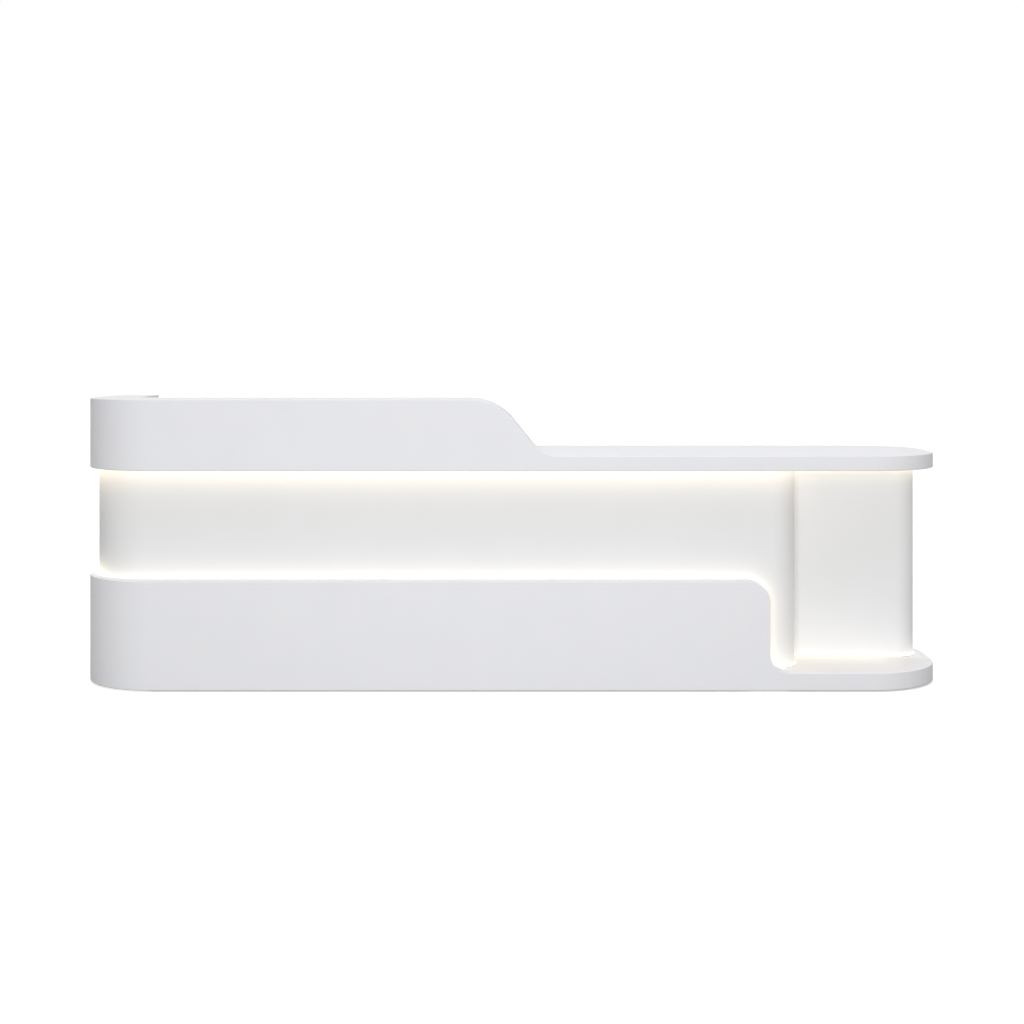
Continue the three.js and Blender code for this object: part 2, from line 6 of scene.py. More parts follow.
import logging
import math
from collections.abc import Callable, Iterator
from contextlib import contextmanager
from dataclasses import dataclass, replace
from enum import Enum
from functools import cache, reduce

import bmesh
import bpy
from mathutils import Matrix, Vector


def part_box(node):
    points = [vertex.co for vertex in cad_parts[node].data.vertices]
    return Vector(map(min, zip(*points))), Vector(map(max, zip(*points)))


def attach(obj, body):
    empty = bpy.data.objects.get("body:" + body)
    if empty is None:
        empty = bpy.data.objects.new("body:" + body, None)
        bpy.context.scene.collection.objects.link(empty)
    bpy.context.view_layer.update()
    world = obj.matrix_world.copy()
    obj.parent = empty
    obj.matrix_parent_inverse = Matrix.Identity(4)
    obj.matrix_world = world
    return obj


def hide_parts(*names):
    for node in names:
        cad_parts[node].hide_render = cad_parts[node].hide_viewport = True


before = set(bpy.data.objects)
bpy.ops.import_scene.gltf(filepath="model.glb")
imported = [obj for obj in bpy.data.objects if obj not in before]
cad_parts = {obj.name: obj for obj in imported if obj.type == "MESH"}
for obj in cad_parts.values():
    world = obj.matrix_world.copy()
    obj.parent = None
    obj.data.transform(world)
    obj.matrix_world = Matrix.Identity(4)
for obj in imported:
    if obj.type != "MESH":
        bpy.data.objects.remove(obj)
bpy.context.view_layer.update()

LOG = logging.getLogger("reception_desk")
DRAWER_COUNT = 3
WHITE = (1.0, 1.0, 1.0)
NOISE_SPAN = (0.3, 0.7)
LINE_SPAN = (0.25, 0.75)

Colour = tuple[float, float, float]
Point = tuple[float, float, float]
Span = tuple[object, object]


class Body(Enum):
    """Bodies of the frame that pieces ride on."""

    DESK = "desk"
    DRAWER_1 = "drawer_1"
    DRAWER_2 = "drawer_2"
    DRAWER_3 = "drawer_3"
    DOOR = "door"


class Slot(Enum):
    """Finish slots of the record."""

    SOLID_SURFACE = "solid_surface"
    LACQUER = "white_lacquer"
    OPAL = "opal_light"
    MELAMINE = "melamine_board"
    PLYWOOD = "plywood"
    ALUMINIUM = "aluminium"
    STEEL = "steel"
    PLASTIC = "black_plastic"


class Axis(Enum):
    """Directions of the frame, by what lies there."""

    RIGHT = (1.0, 0.0, 0.0)
    LEFT = (-1.0, 0.0, 0.0)
    STAFF = (0.0, 1.0, 0.0)
    VISITOR = (0.0, -1.0, 0.0)
    UP = (0.0, 0.0, 1.0)
    DOWN = (0.0, 0.0, -1.0)


class Tree:
    """Places and links the nodes of one shader tree."""

    def __init__(self, tree: bpy.types.NodeTree) -> None:
        """Keep the tree that nodes are added to."""
        self.tree = tree

    def add(self, kind: str, feeds: dict | None = None, **options: object) -> bpy.types.Node:
        """Add one node.

        Args:
            kind: Blender's name for the node type.
            feeds: values or sockets for its inputs, by input name or number.
            **options: settings of the node itself.

        Returns:
            The new node.
        """
        node = self.tree.nodes.new(kind)
        for option, value in options.items():
            setattr(node, option, value)
        for key, value in (feeds or {}).items():
            self.feed(node.inputs[key], value)
        return node

    def feed(self, socket: bpy.types.NodeSocket, value: object) -> None:
        """Link a socket into an input, or set the input to a plain value.

        Args:
            socket: the input.
            value: the socket to link, or the value to set.
        """
        if isinstance(value, bpy.types.NodeSocket):
            self.tree.links.new(value, socket)
        elif socket.type == "RGBA" and len(value) == 3:
            socket.default_value = (*value, 1.0)
        else:
            socket.default_value = value

    def maths(self, operation: str, first: object, second: object = 0.0) -> bpy.types.NodeSocket:
        """Return the output of a Math node on two values or sockets."""
        return self.add("ShaderNodeMath", {0: first, 1: second}, operation=operation).outputs[0]

    def dot(self, first: object, second: object) -> bpy.types.NodeSocket:
        """Return the dot product of two vectors."""
        node = self.add("ShaderNodeVectorMath", {0: first, 1: second}, operation="DOT_PRODUCT")
        return node.outputs["Value"]

    def plus(self, first: object, second: object) -> bpy.types.NodeSocket:
        """Return the sum of two vectors or colours."""
        return self.add("ShaderNodeVectorMath", {0: first, 1: second}, operation="ADD").outputs["Vector"]

    def times(self, first: object, second: object) -> bpy.types.NodeSocket:
        """Return two vectors multiplied axis by axis."""
        return self.add("ShaderNodeVectorMath", {0: first, 1: second}, operation="MULTIPLY").outputs["Vector"]

    def blend(self, share: object, first: object, second: object) -> bpy.types.NodeSocket:
        """Return the colour that lies between two colours."""
        node = self.add("ShaderNodeMix", {0: share, 6: first, 7: second}, data_type="RGBA")
        return node.outputs[2]

    def spread(self, value: object, span: Span, to_span: Span) -> bpy.types.NodeSocket:
        """Return a value mapped from one span to another and held inside it."""
        feeds = dict(enumerate((value, *span, *to_span)))
        return self.add("ShaderNodeMapRange", feeds).outputs[0]

    def noise(self, place: object, scale: object, detail: float = 2.0) -> bpy.types.NodeSocket:
        """Return a noise value at a place."""
        feeds = {"Vector": place, "Scale": scale, "Detail": detail}
        return self.add("ShaderNodeTexNoise", feeds).outputs[0]

    def relief(self, height: object, depth: object, strength: float) -> bpy.types.NodeSocket:
        """Return the normal of a surface with a fine relief."""
        feeds = {"Height": height, "Distance": depth, "Strength": strength}
        return self.add("ShaderNodeBump", feeds).outputs["Normal"]

    def place(self) -> bpy.types.NodeSocket:
        """Return the Object coordinates."""
        return self.add("ShaderNodeTexCoord").outputs["Object"]


def new_group(name: str, takes: dict[str, str], gives: dict[str, str]) -> tuple[Tree, object, object]:
    """Start a shader node group.

    Args:
        name: the group's name.
        takes: the group's inputs, each with its socket kind.
        gives: the group's outputs, each with its socket kind.

    Returns:
        The group's tree, the sockets that bring its inputs in, and the sockets of its outputs.
    """
    tree = bpy.data.node_groups.new(name, "ShaderNodeTree")
    for direction, sockets in (("INPUT", takes), ("OUTPUT", gives)):
        for socket, kind in sockets.items():
            tree.interface.new_socket(name=socket, in_out=direction, socket_type="NodeSocket" + kind)
    made = Tree(tree)
    return made, made.add("NodeGroupInput").outputs, made.add("NodeGroupOutput").inputs


@cache
def satin_skin_group() -> bpy.types.NodeTree:
    """Make the group for smooth made surfaces: faint clouds, uneven gloss and a fine skin.

    Returns:
        The group's tree.
    """
    rubbed_per_cloud = 2.7
    skin_strength = 0.6
    takes = {"Base": "Color", "Shade": "Color", "Cloud Scale": "Float", "Low Roughness": "Float",
             "High Roughness": "Float", "Skin Scale": "Float", "Skin Depth": "Float"}
    gives = {"Color": "Color", "Roughness": "Float", "Normal": "Vector"}
    tree, ins, outs = new_group("satin_skin", takes, gives)
    place = tree.place()
    cloud = tree.noise(place, ins["Cloud Scale"], 3.0)
    share = tree.spread(cloud, NOISE_SPAN, (0.0, 1.0))
    tree.feed(outs["Color"], tree.blend(share, ins["Base"], ins["Shade"]))
    rubbed = tree.noise(place, tree.maths("MULTIPLY", ins["Cloud Scale"], rubbed_per_cloud), 4.0)
    rough = tree.spread(rubbed, NOISE_SPAN, (ins["Low Roughness"], ins["High Roughness"]))
    tree.feed(outs["Roughness"], rough)
    skin = tree.noise(place, ins["Skin Scale"], 1.0)
    tree.feed(outs["Normal"], tree.relief(skin, ins["Skin Depth"], skin_strength))
    return tree.tree


@cache
def brushed_group() -> bpy.types.NodeTree:
    """Make the group for brushed metal: fine lines along one direction.

    Returns:
        The group's tree.
    """
    line_strength = 0.5
    takes = {"Base": "Color", "Shade": "Color", "Stretch": "Vector", "Low Roughness": "Float",
             "High Roughness": "Float", "Line Depth": "Float"}
    gives = {"Color": "Color", "Roughness": "Float", "Normal": "Vector"}
    tree, ins, outs = new_group("brushed_lines", takes, gives)
    line = tree.noise(tree.times(tree.place(), ins["Stretch"]), 1.0, 3.0)
    share = tree.spread(line, LINE_SPAN, (0.0, 1.0))
    tree.feed(outs["Color"], tree.blend(share, ins["Base"], ins["Shade"]))
    rough = tree.spread(line, LINE_SPAN, (ins["Low Roughness"], ins["High Roughness"]))
    tree.feed(outs["Roughness"], rough)
    tree.feed(outs["Normal"], tree.relief(line, ins["Line Depth"], line_strength))
    return tree.tree


@cache
def wood_grain_group() -> bpy.types.NodeTree:
    """Make the group for clear wood: long figure, fine pores and a slight relief.

    Returns:
        The group's tree.
    """
    ring_count = 9.0
    late_share = 0.75
    pore_scale = 11.0
    pore_span = (0.58, 0.74)
    pore_share = 0.55
    pore_sink = 2.0
    relief_strength = 0.4
    takes = {"Early": "Color", "Late": "Color", "Pore": "Color", "Stretch": "Vector",
             "Low Roughness": "Float", "High Roughness": "Float", "Relief": "Float"}
    gives = {"Color": "Color", "Roughness": "Float", "Normal": "Vector"}
    tree, ins, outs = new_group("wood_grain", takes, gives)
    along = tree.times(tree.place(), ins["Stretch"])
    figure = tree.noise(along, 1.0, 3.0)
    rings = tree.maths("FRACT", tree.maths("MULTIPLY", figure, ring_count))
    share = tree.spread(rings, (0.0, 1.0), (0.0, late_share))
    wood = tree.blend(share, ins["Early"], ins["Late"])
    pores = tree.noise(along, pore_scale)
    dark = tree.spread(pores, pore_span, (0.0, pore_share))
    tree.feed(outs["Color"], tree.blend(dark, wood, ins["Pore"]))
    rough = tree.spread(pores, NOISE_SPAN, (ins["Low Roughness"], ins["High Roughness"]))
    tree.feed(outs["Roughness"], rough)
    height = tree.maths("SUBTRACT", rings, tree.maths("MULTIPLY", dark, pore_sink))
    tree.feed(outs["Normal"], tree.relief(height, ins["Relief"], relief_strength))
    return tree.tree


@cache
def ply_edge_group() -> bpy.types.NodeTree:
    """Make the group for the cut edge of plywood: pale and dark layers by turns, with short fibres.

    Returns:
        The group's tree.
    """
    layer_joint = (0.45, 0.55)
    dark_share = 0.8
    fibre_scale = 1200.0
    fibre_fade = (0.6, 1.0)
    roughness = (0.5, 0.7)
    relief_depth = 0.0001
    relief_strength = 0.4
    takes = {"Pale": "Color", "Dark": "Color", "Across": "Vector", "Pairs": "Float"}
    gives = {"Color": "Color", "Roughness": "Float", "Normal": "Vector"}
    tree, ins, outs = new_group("ply_edge", takes, gives)
    place = tree.place()
    layer = tree.maths("FRACT", tree.maths("MULTIPLY", tree.dot(place, ins["Across"]), ins["Pairs"]))
    turn = tree.spread(layer, layer_joint, (0.0, dark_share))
    fibre = tree.noise(place, fibre_scale)
    share = tree.maths("MULTIPLY", turn, tree.spread(fibre, NOISE_SPAN, fibre_fade))
    tree.feed(outs["Color"], tree.blend(share, ins["Pale"], ins["Dark"]))
    tree.feed(outs["Roughness"], tree.spread(fibre, NOISE_SPAN, roughness))
    tree.feed(outs["Normal"], tree.relief(share, relief_depth, relief_strength))
    return tree.tree


@cache
def light_wash_group() -> bpy.types.NodeTree:
    """Make the group for the light that a light line throws on the surface beside it.

    The distance is measured to a line that turns a rounded corner, in the plane of two directions.

    Returns:
        The group's tree.
    """
    takes = {"Tint": "Color", "Along": "Vector", "Across": "Vector", "Corner Along": "Float",
             "Corner Across": "Float", "Corner Radius": "Float", "Reach": "Float", "Strength": "Float"}
    tree, ins, outs = new_group("light_wash", takes, {"Color": "Color"})
    place = tree.place()
    legs = []
    for way in ("Along", "Across"):
        beyond = tree.maths("SUBTRACT", tree.dot(place, ins[way]), ins["Corner " + way])
        legs.append(tree.maths("POWER", tree.maths("MAXIMUM", beyond, 0.0), 2.0))
    reach = tree.maths("SQRT", tree.maths("ADD", *legs))
    gap = tree.maths("MAXIMUM", tree.maths("SUBTRACT", reach, ins["Corner Radius"]), 0.0)
    fall = tree.maths("EXPONENT", tree.maths("MULTIPLY", tree.maths("DIVIDE", gap, ins["Reach"]), -1.0))
    level = tree.maths("MULTIPLY", fall, ins["Strength"])
    lit = tree.add("ShaderNodeVectorMath", {0: ins["Tint"], "Scale": level}, operation="SCALE")
    tree.feed(outs["Color"], lit.outputs["Vector"])
    return tree.tree


@dataclass(frozen=True)
class Wash:
    """Light on a surface beside a light line that may turn one rounded corner.

    Attributes:
        along: first direction in which the distance from the line grows.
        across: second such direction, at a right angle to the first.
        corner: where the rounded corner has its centre, along each direction.
        radius: the corner's radius, or 0 for a straight line.
        reach: distance over which the light falls to about a third.
        strength: brightness right at the line.
        tint: colour of the light.
        squeeze: how many times faster the light falls along the first direction than along the second.
    """

    along: Axis
    across: Axis
    corner: tuple[float, float]
    radius: float
    reach: float
    strength: float
    tint: Colour = (1.0, 0.85, 0.60)
    squeeze: float = 1.0

    def colour(self, tree: Tree) -> bpy.types.NodeSocket:
        """Place the group for this light in a material's tree.

        Args:
            tree: the material's tree.

        Returns:
            The light's colour.
        """
        along = Vector(self.along.value) * self.squeeze
        feeds = {"Tint": self.tint, "Along": along, "Across": self.across.value,
                 "Corner Along": self.corner[0] * self.squeeze, "Corner Across": self.corner[1],
                 "Corner Radius": self.radius, "Reach": self.reach, "Strength": self.strength}
        return tree.add("ShaderNodeGroup", feeds, node_tree=light_wash_group()).outputs["Color"]


class Finish:
    """A surface finish that makes its own material.

    Attributes:
        name: the material's name.
    """

    name: str

    def shader(self) -> tuple[Tree, bpy.types.Node]:
        """Start the material.

        Returns:
            The material's tree and its Principled shader.
        """
        material = bpy.data.materials.new(self.name)
        material.use_nodes = True
        tree = Tree(material.node_tree)
        return tree, material.node_tree.nodes["Principled BSDF"]

    def material(self) -> bpy.types.Material:
        """Find the material, or make it at the first call.

        Returns:
            The material.
        """
        found = bpy.data.materials.get(self.name)
        if found is None:
            self.make()
            found = bpy.data.materials[self.name]
        return found

    def make(self) -> None:
        """Build the material's nodes."""
        raise NotImplementedError

    @staticmethod
    def dress(tree: Tree, shader: bpy.types.Node, group: bpy.types.NodeTree, feeds: dict) -> None:
        """Place a surface group and link its colour, roughness and normal.

        Args:
            tree: the material's tree.
            shader: the material's Principled shader.
            group: the surface group.
            feeds: the values of the group's inputs.
        """
        node = tree.add("ShaderNodeGroup", feeds, node_tree=group)
        for source, target in (("Color", "Base Color"), ("Roughness", "Roughness"), ("Normal", "Normal")):
            tree.feed(shader.inputs[target], node.outputs[source])


@dataclass(frozen=True)
class SatinFinish(Finish):
    """Solid surface, lacquer, melamine or moulded plastic.

    Attributes:
        name: the material's name.
        base: main colour.
        shade: colour of the faint clouds.
        cloud_scale: clouds per metre.
        roughness: lowest and highest roughness.
        skin_scale: grains of the fine skin per metre.
        skin_depth: depth of the fine skin.
        specular: strength of the plain reflection.
        washes: light from the light lines beside the surface.
    """

    name: str
    base: Colour
    shade: Colour
    cloud_scale: float = 7.0
    roughness: tuple[float, float] = (0.42, 0.52)
    skin_scale: float = 650.0
    skin_depth: float = 0.00004
    specular: float = 0.04
    washes: tuple[Wash, ...] = ()

    def make(self) -> None:
        """Build the material's nodes."""
        tree, shader = self.shader()
        feeds = {"Base": self.base, "Shade": self.shade, "Cloud Scale": self.cloud_scale,
                 "Low Roughness": self.roughness[0], "High Roughness": self.roughness[1],
                 "Skin Scale": self.skin_scale, "Skin Depth": self.skin_depth}
        self.dress(tree, shader, satin_skin_group(), feeds)
        shader.inputs["Specular IOR Level"].default_value = self.specular
        if self.washes:
            lit = reduce(tree.plus, [wash.colour(tree) for wash in self.washes])
            tree.feed(shader.inputs["Emission Color"], lit)
            shader.inputs["Emission Strength"].default_value = 1.0


@dataclass(frozen=True)
class MetalFinish(Finish):
    """Brushed, anodised or plated metal.

    Attributes:
        name: the material's name.
        base: main colour.
        shade: colour of the darker lines.
        stretch: lines per metre along each axis, low along the lines.
        roughness: lowest and highest roughness.
        line_depth: depth of the lines.
    """

    name: str
    base: Colour
    shade: Colour
    stretch: Point
    roughness: tuple[float, float] = (0.28, 0.42)
    line_depth: float = 0.00003

    def make(self) -> None:
        """Build the material's nodes."""
        tree, shader = self.shader()
        feeds = {"Base": self.base, "Shade": self.shade, "Stretch": self.stretch,
                 "Low Roughness": self.roughness[0], "High Roughness": self.roughness[1],
                 "Line Depth": self.line_depth}
        self.dress(tree, shader, brushed_group(), feeds)
        shader.inputs["Metallic"].default_value = 1.0


@dataclass(frozen=True)
class WoodFinish(Finish):
    """Clear lacquered plywood.

    Attributes:
        name: the material's name.
        early: pale wood between the rings.
        late: darker wood of the rings.
        pore: colour of the pores.
        stretch: figure per metre along each axis, low along the grain.
        roughness: lowest and highest roughness.
        relief: depth of the grain.
    """

    name: str
    early: Colour
    late: Colour
    pore: Colour
    stretch: Point
    roughness: tuple[float, float] = (0.38, 0.58)
    relief: float = 0.00008

    def make(self) -> None:
        """Build the material's nodes."""
        tree, shader = self.shader()
        feeds = {"Early": self.early, "Late": self.late, "Pore": self.pore, "Stretch": self.stretch,
                 "Low Roughness": self.roughness[0], "High Roughness": self.roughness[1],
                 "Relief": self.relief}
        self.dress(tree, shader, wood_grain_group(), feeds)


@dataclass(frozen=True)
class PlyEdgeFinish(Finish):
    """Cut edge of a plywood board.

    Attributes:
        name: the material's name.
        across: direction in which the layers follow each other.
        pale: colour of the long-grain layers.
        dark: colour of the end-grain layers.
        pairs: pairs of layers per metre.
    """

    name: str
    across: Axis
    pale: Colour = (0.68, 0.54, 0.37)
    dark: Colour = (0.45, 0.31, 0.18)
    pairs: float = 330.0

    def make(self) -> None:
        """Build the material's nodes."""
        tree, shader = self.shader()
        feeds = {"Pale": self.pale, "Dark": self.dark, "Across": self.across.value, "Pairs": self.pairs}
        self.dress(tree, shader, ply_edge_group(), feeds)


@dataclass(frozen=True)
class OpalFinish(Finish):
    """Opal plastic that is lit from behind.

    Attributes:
        name: the material's name.
        base: colour of the plastic.
        glow: colour of the light that comes through.
        strength: brightness of that light.
        shade: brightness of the plastic's faint clouds, as a share of its colour.
        cloud_scale: clouds per metre.
        roughness: lowest and highest roughness.
        skin_scale: grains of the fine skin per metre.
        skin_depth: depth of the fine skin.
        spot_scale: spots of weaker light per metre.
        spot_share: brightness of those spots, as a share of the light.
    """

    name: str
    base: Colour = (0.92, 0.91, 0.88)
    glow: Colour = (1.0, 0.94, 0.84)
    strength: float = 1.05
    shade: float = 0.97
    cloud_scale: float = 30.0
    roughness: tuple[float, float] = (0.45, 0.60)
    skin_scale: float = 900.0
    skin_depth: float = 0.00002
    spot_scale: float = 60.0
    spot_share: float = 0.93

    def make(self) -> None:
        """Build the material's nodes."""
        tree, shader = self.shader()
        clouds = tuple(self.shade * part for part in self.base)
        feeds = {"Base": self.base, "Shade": clouds, "Cloud Scale": self.cloud_scale,
                 "Low Roughness": self.roughness[0], "High Roughness": self.roughness[1],
                 "Skin Scale": self.skin_scale, "Skin Depth": self.skin_depth}
        self.dress(tree, shader, satin_skin_group(), feeds)
        spots = tree.noise(tree.place(), self.spot_scale, 1.0)
        dim = tuple(self.spot_share * part for part in self.glow)
        tree.feed(shader.inputs["Emission Color"], tree.blend(spots, self.glow, dim))
        shader.inputs["Emission Strength"].default_value = self.strength


class Bench:
    """Modelling steps that the sub-assemblies share.

    Attributes:
        merge_distance: distance within which two corners are one.
        flat_angle: angle within which neighbouring faces are one flat face.
        sharp_angle: angle from which an edge is a sharp one.
        smooth_angle: angle up to which an edge is shaded smooth.
        plane_slack: distance within which a point lies in a plane.
        facing: cosine from which a face squarely faces a direction.
        leaning: cosine from which a face leans towards a direction.
        corner_segments: faces across a plate's round corner.
    """

    merge_distance = 0.00001
    flat_angle = math.radians(0.5)
    sharp_angle = math.radians(30.0)
    smooth_angle = math.radians(35.0)
    plane_slack = 0.0005
    facing = 0.9
    leaning = 0.5
    corner_segments = 5

    @staticmethod
    def activate(piece: bpy.types.Object) -> None:
        """Select one piece alone and make it the active one.

        Args:
            piece: the piece.
        """
        bpy.ops.object.select_all(action="DESELECT")
        piece.select_set(True)
        bpy.context.view_layer.objects.active = piece

    @staticmethod
    @contextmanager
    def editing(piece: bpy.types.Object, elements: str = "EDGE") -> Iterator[None]:
        """Hold a piece in edit mode, with nothing selected at the start.

        Args:
            piece: the piece to edit.
            elements: what is selected there: VERT, EDGE or FACE.

        Yields:
            Nothing: the piece is in edit mode until the block ends.
        """
        Bench.activate(piece)
        bpy.ops.object.mode_set(mode="EDIT")
        bpy.ops.mesh.select_mode(type=elements)
        bpy.ops.mesh.select_all(action="DESELECT")
        yield
        bpy.ops.object.mode_set(mode="OBJECT")

    @staticmethod
    def copy_of(node: str) -> bpy.types.Object:
        """Copy a CAD node, merged and with each flat face whole.

        Args:
            node: the CAD node.

        Returns:
            The copy.
        """
        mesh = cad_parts[node].data.copy()
        mesh.materials.clear()
        piece = bpy.data.objects.new(node + "_finished", mesh)
        bpy.context.scene.collection.objects.link(piece)
        Bench.activate(piece)
        bpy.ops.mesh.customdata_custom_splitnormals_clear()
        with Bench.editing(piece, "VERT"):
            bpy.ops.mesh.select_all(action="SELECT")
            bpy.ops.mesh.remove_doubles(threshold=Bench.merge_distance)
            bpy.ops.mesh.dissolve_limited(angle_limit=Bench.flat_angle)
        return piece

    @staticmethod
    def round_edges(piece: bpy.types.Object, width: float, segments: int = 3,
                    spare: Callable[[Vector, Vector], bool] | None = None) -> None:
        """Round the sharp edges of a piece.

        Args:
            piece: the piece to round.
            width: how far the rounding reaches from the edge.
            segments: faces across the rounding.
            spare: says of an edge's two ends whether the edge stays sharp.
        """
        with Bench.editing(piece):
            bpy.ops.mesh.edges_select_sharp(sharpness=Bench.sharp_angle)
            mesh = bmesh.from_edit_mesh(piece.data)
            for edge in mesh.edges:
                if edge.select and spare is not None and spare(edge.verts[0].co, edge.verts[1].co):
                    edge.select_set(False)
            mesh.select_flush_mode()
            bmesh.update_edit_mesh(piece.data)
            bpy.ops.mesh.bevel(offset=width, segments=segments, profile=0.5, affect="EDGES",
                               clamp_overlap=False, miter_outer="ARC")

    @staticmethod
    def smooth(piece: bpy.types.Object) -> None:
        """Shade the round faces smooth and keep the flat ones flat.

        Args:
            piece: the piece to shade.
        """
        Bench.activate(piece)
        bpy.ops.object.shade_smooth_by_angle(angle=Bench.smooth_angle)
        bpy.ops.object.modifier_add(type="WEIGHTED_NORMAL")
        bent = piece.modifiers[-1]
        bent.keep_sharp = True
        bpy.ops.object.modifier_apply(modifier=bent.name)

    @staticmethod
    def settle(piece: bpy.types.Object, name: str) -> None:
        """Name a new piece and put its place, turn and size into its mesh.

        Args:
            piece: the new piece.
            name: its name.
        """
        piece.name = name
        Bench.activate(piece)
        bpy.ops.object.transform_apply(location=True, rotation=True, scale=True)

    @staticmethod
    def pick_faces(piece: bpy.types.Object, wanted: Callable[[Vector, Vector], bool]) -> None:
        """Select faces in edit mode.

        Args:
            piece: the piece that is edited.
            wanted: says of a face's centre and normal whether the face is selected.
        """
        mesh = bmesh.from_edit_mesh(piece.data)
        for face in mesh.faces:
            face.select_set(wanted(face.calc_center_median(), face.normal))
        mesh.select_flush_mode()
        bmesh.update_edit_mesh(piece.data)

    @staticmethod
    def pick_edges(piece: bpy.types.Object, wanted: Callable[[Vector, Vector], bool]) -> None:
        """Select edges in edit mode.

        Args:
            piece: the piece that is edited.
            wanted: says of an edge's two ends whether the edge is selected.
        """
        mesh = bmesh.from_edit_mesh(piece.data)
        for edge in mesh.edges:
            edge.select_set(wanted(edge.verts[0].co, edge.verts[1].co))
        mesh.select_flush_mode()
        bmesh.update_edit_mesh(piece.data)

    @staticmethod
    def sink(inset: float, move: Point) -> None:
        """Inset the selected faces and push them in or pull them out."""
        bpy.ops.mesh.inset(thickness=inset)
        bpy.ops.mesh.extrude_region_move(TRANSFORM_OT_translate={"value": move})

    @staticmethod
    def plate(name: str, low: Point, high: Point, corner: float, edge: float) -> bpy.types.Object:
        """Make a plate with round corners that fills a box.

        Args:
            name: the piece's name.
            low: lowest corner of the box.
            high: highest corner of the box.
            corner: radius of the plate's corners.
            edge: reach of the rounding along its edges.

        Returns:
            The plate.
        """
        size = Vector(high) - Vector(low)
        bpy.ops.object.select_all(action="DESELECT")
        bpy.ops.mesh.primitive_cube_add(size=1.0, location=(Vector(low) + Vector(high)) / 2.0, scale=size)
        piece = bpy.context.active_object
        Bench.settle(piece, name)
        thin = min(range(3), key=lambda axis: size[axis])
        with Bench.editing(piece):
            Bench.pick_edges(piece, lambda first, second: abs(first[thin] - second[thin]) > size[thin] / 2.0)
            bpy.ops.mesh.bevel(offset=corner, segments=Bench.corner_segments, affect="EDGES")
        Bench.round_edges(piece, edge, 2)
        Bench.smooth(piece)
        return piece

    @staticmethod
    def turned(radius: float, height: float, sides: int = 24) -> bpy.types.Object:
        """Make a short cylinder that stands on the origin, as the start of a turned piece.

        Args:
            radius: its radius.
            height: its height.
            sides: faces round it.

        Returns:
            The cylinder.
        """
        bpy.ops.object.select_all(action="DESELECT")
        bpy.ops.mesh.primitive_cylinder_add(vertices=sides, radius=radius, depth=height,
                                            location=(0.0, 0.0, height / 2.0))
        piece = bpy.context.active_object
        Bench.settle(piece, "turned_start")
        return piece

    @staticmethod
    def is_cap(centre: Vector, normal: Vector) -> bool:
        """Say whether a face of a turned piece is its round top."""
        return normal.z > Bench.facing and centre.xy.length < Bench.merge_distance

    @staticmethod
    def take_mesh(piece: bpy.types.Object) -> bpy.types.Mesh:
        """Keep the mesh of a model piece and take the piece itself away.

        Args:
            piece: the model piece.

        Returns:
            Its mesh.
        """
        mesh = piece.data
        bpy.data.objects.remove(piece)
        return mesh

    @staticmethod
    def place_copy(mesh: bpy.types.Mesh, name: str, place: Point, heading: Axis) -> bpy.types.Object:
        """Copy a turned mesh and stand it at a place.

        Args:
            mesh: the turned mesh.
            name: the copy's name.
            place: where its foot is.
            heading: the way its top looks.

        Returns:
            The copy.
        """
        piece = bpy.data.objects.new(name, mesh.copy())
        bpy.context.scene.collection.objects.link(piece)
        piece.rotation_mode = "QUATERNION"
        piece.rotation_quaternion = Vector(heading.value).to_track_quat("Z", "Y")
        piece.location = place
        Bench.settle(piece, name)
        return piece

    @staticmethod
    def paint_faces(piece: bpy.types.Object, number: int, wanted: Callable[[Vector, Vector], bool]) -> None:
        """Give some faces a material.

        Args:
            piece: the piece.
            number: the material's number.
            wanted: says of a face's centre and normal whether the face gets it.
        """
        for face in piece.data.polygons:
            if wanted(face.center, face.normal):
                face.material_index = number


@dataclass(frozen=True)
class Screw:
    """Round-headed screw with a six-lobed drive.

    Attributes:
        radius: radius of the head.
        head: height of the head.
        drive: radius of the drive.
        lobes: number of the drive's lobes.
        sides: faces round the head, the same number for each lobe.
        lobe_depth: radius of the drive between its lobes, as a share of its full radius.
        crown: reach of the head's rounding, as a share of its height.
        drive_depth: depth of the drive, as a share of the head's height.
    """

    radius: float = 0.0045
    head: float = 0.0024
    drive: float = 0.0022
    lobes: int = 6
    sides: int = 24
    lobe_depth: float = 0.72
    crown: float = 0.75
    drive_depth: float = 0.70

    @cache
    def mesh(self) -> bpy.types.Mesh:
        """Model the head once, with its top towards +Z.

        Returns:
            The head's mesh.
        """
        piece = Bench.turned(self.radius, self.head, self.sides)
        middle = self.head / 2.0
        rounding = self.head * self.crown
        lobe_sides = self.sides // self.lobes
        with Bench.editing(piece):
            Bench.pick_edges(piece, lambda first, second: min(first.z, second.z) > middle)
            bpy.ops.mesh.bevel(offset=rounding, segments=4, affect="EDGES")
        with Bench.editing(piece, "FACE"):
            Bench.pick_faces(piece, Bench.is_cap)
            bpy.ops.mesh.inset(thickness=self.radius - rounding - self.drive)
        with Bench.editing(piece, "VERT"):
            rim = bmesh.from_edit_mesh(piece.data)
            for corner in rim.verts:
                turn = round(math.atan2(corner.co.y, corner.co.x) / math.tau * self.sides)
                inner = corner.co.xy.length < self.drive + Bench.merge_distance and corner.co.z > middle
                corner.select_set(inner and turn % lobe_sides in (0, 1))
            bmesh.update_edit_mesh(piece.data)
            bpy.ops.transform.resize(value=(self.lobe_depth, self.lobe_depth, 1.0))
        with Bench.editing(piece, "FACE"):
            Bench.pick_faces(piece, Bench.is_cap)
            sunk = (0.0, 0.0, -self.head * self.drive_depth)
            bpy.ops.mesh.extrude_region_move(TRANSFORM_OT_translate={"value": sunk})
        Bench.smooth(piece)
        return Bench.take_mesh(piece)


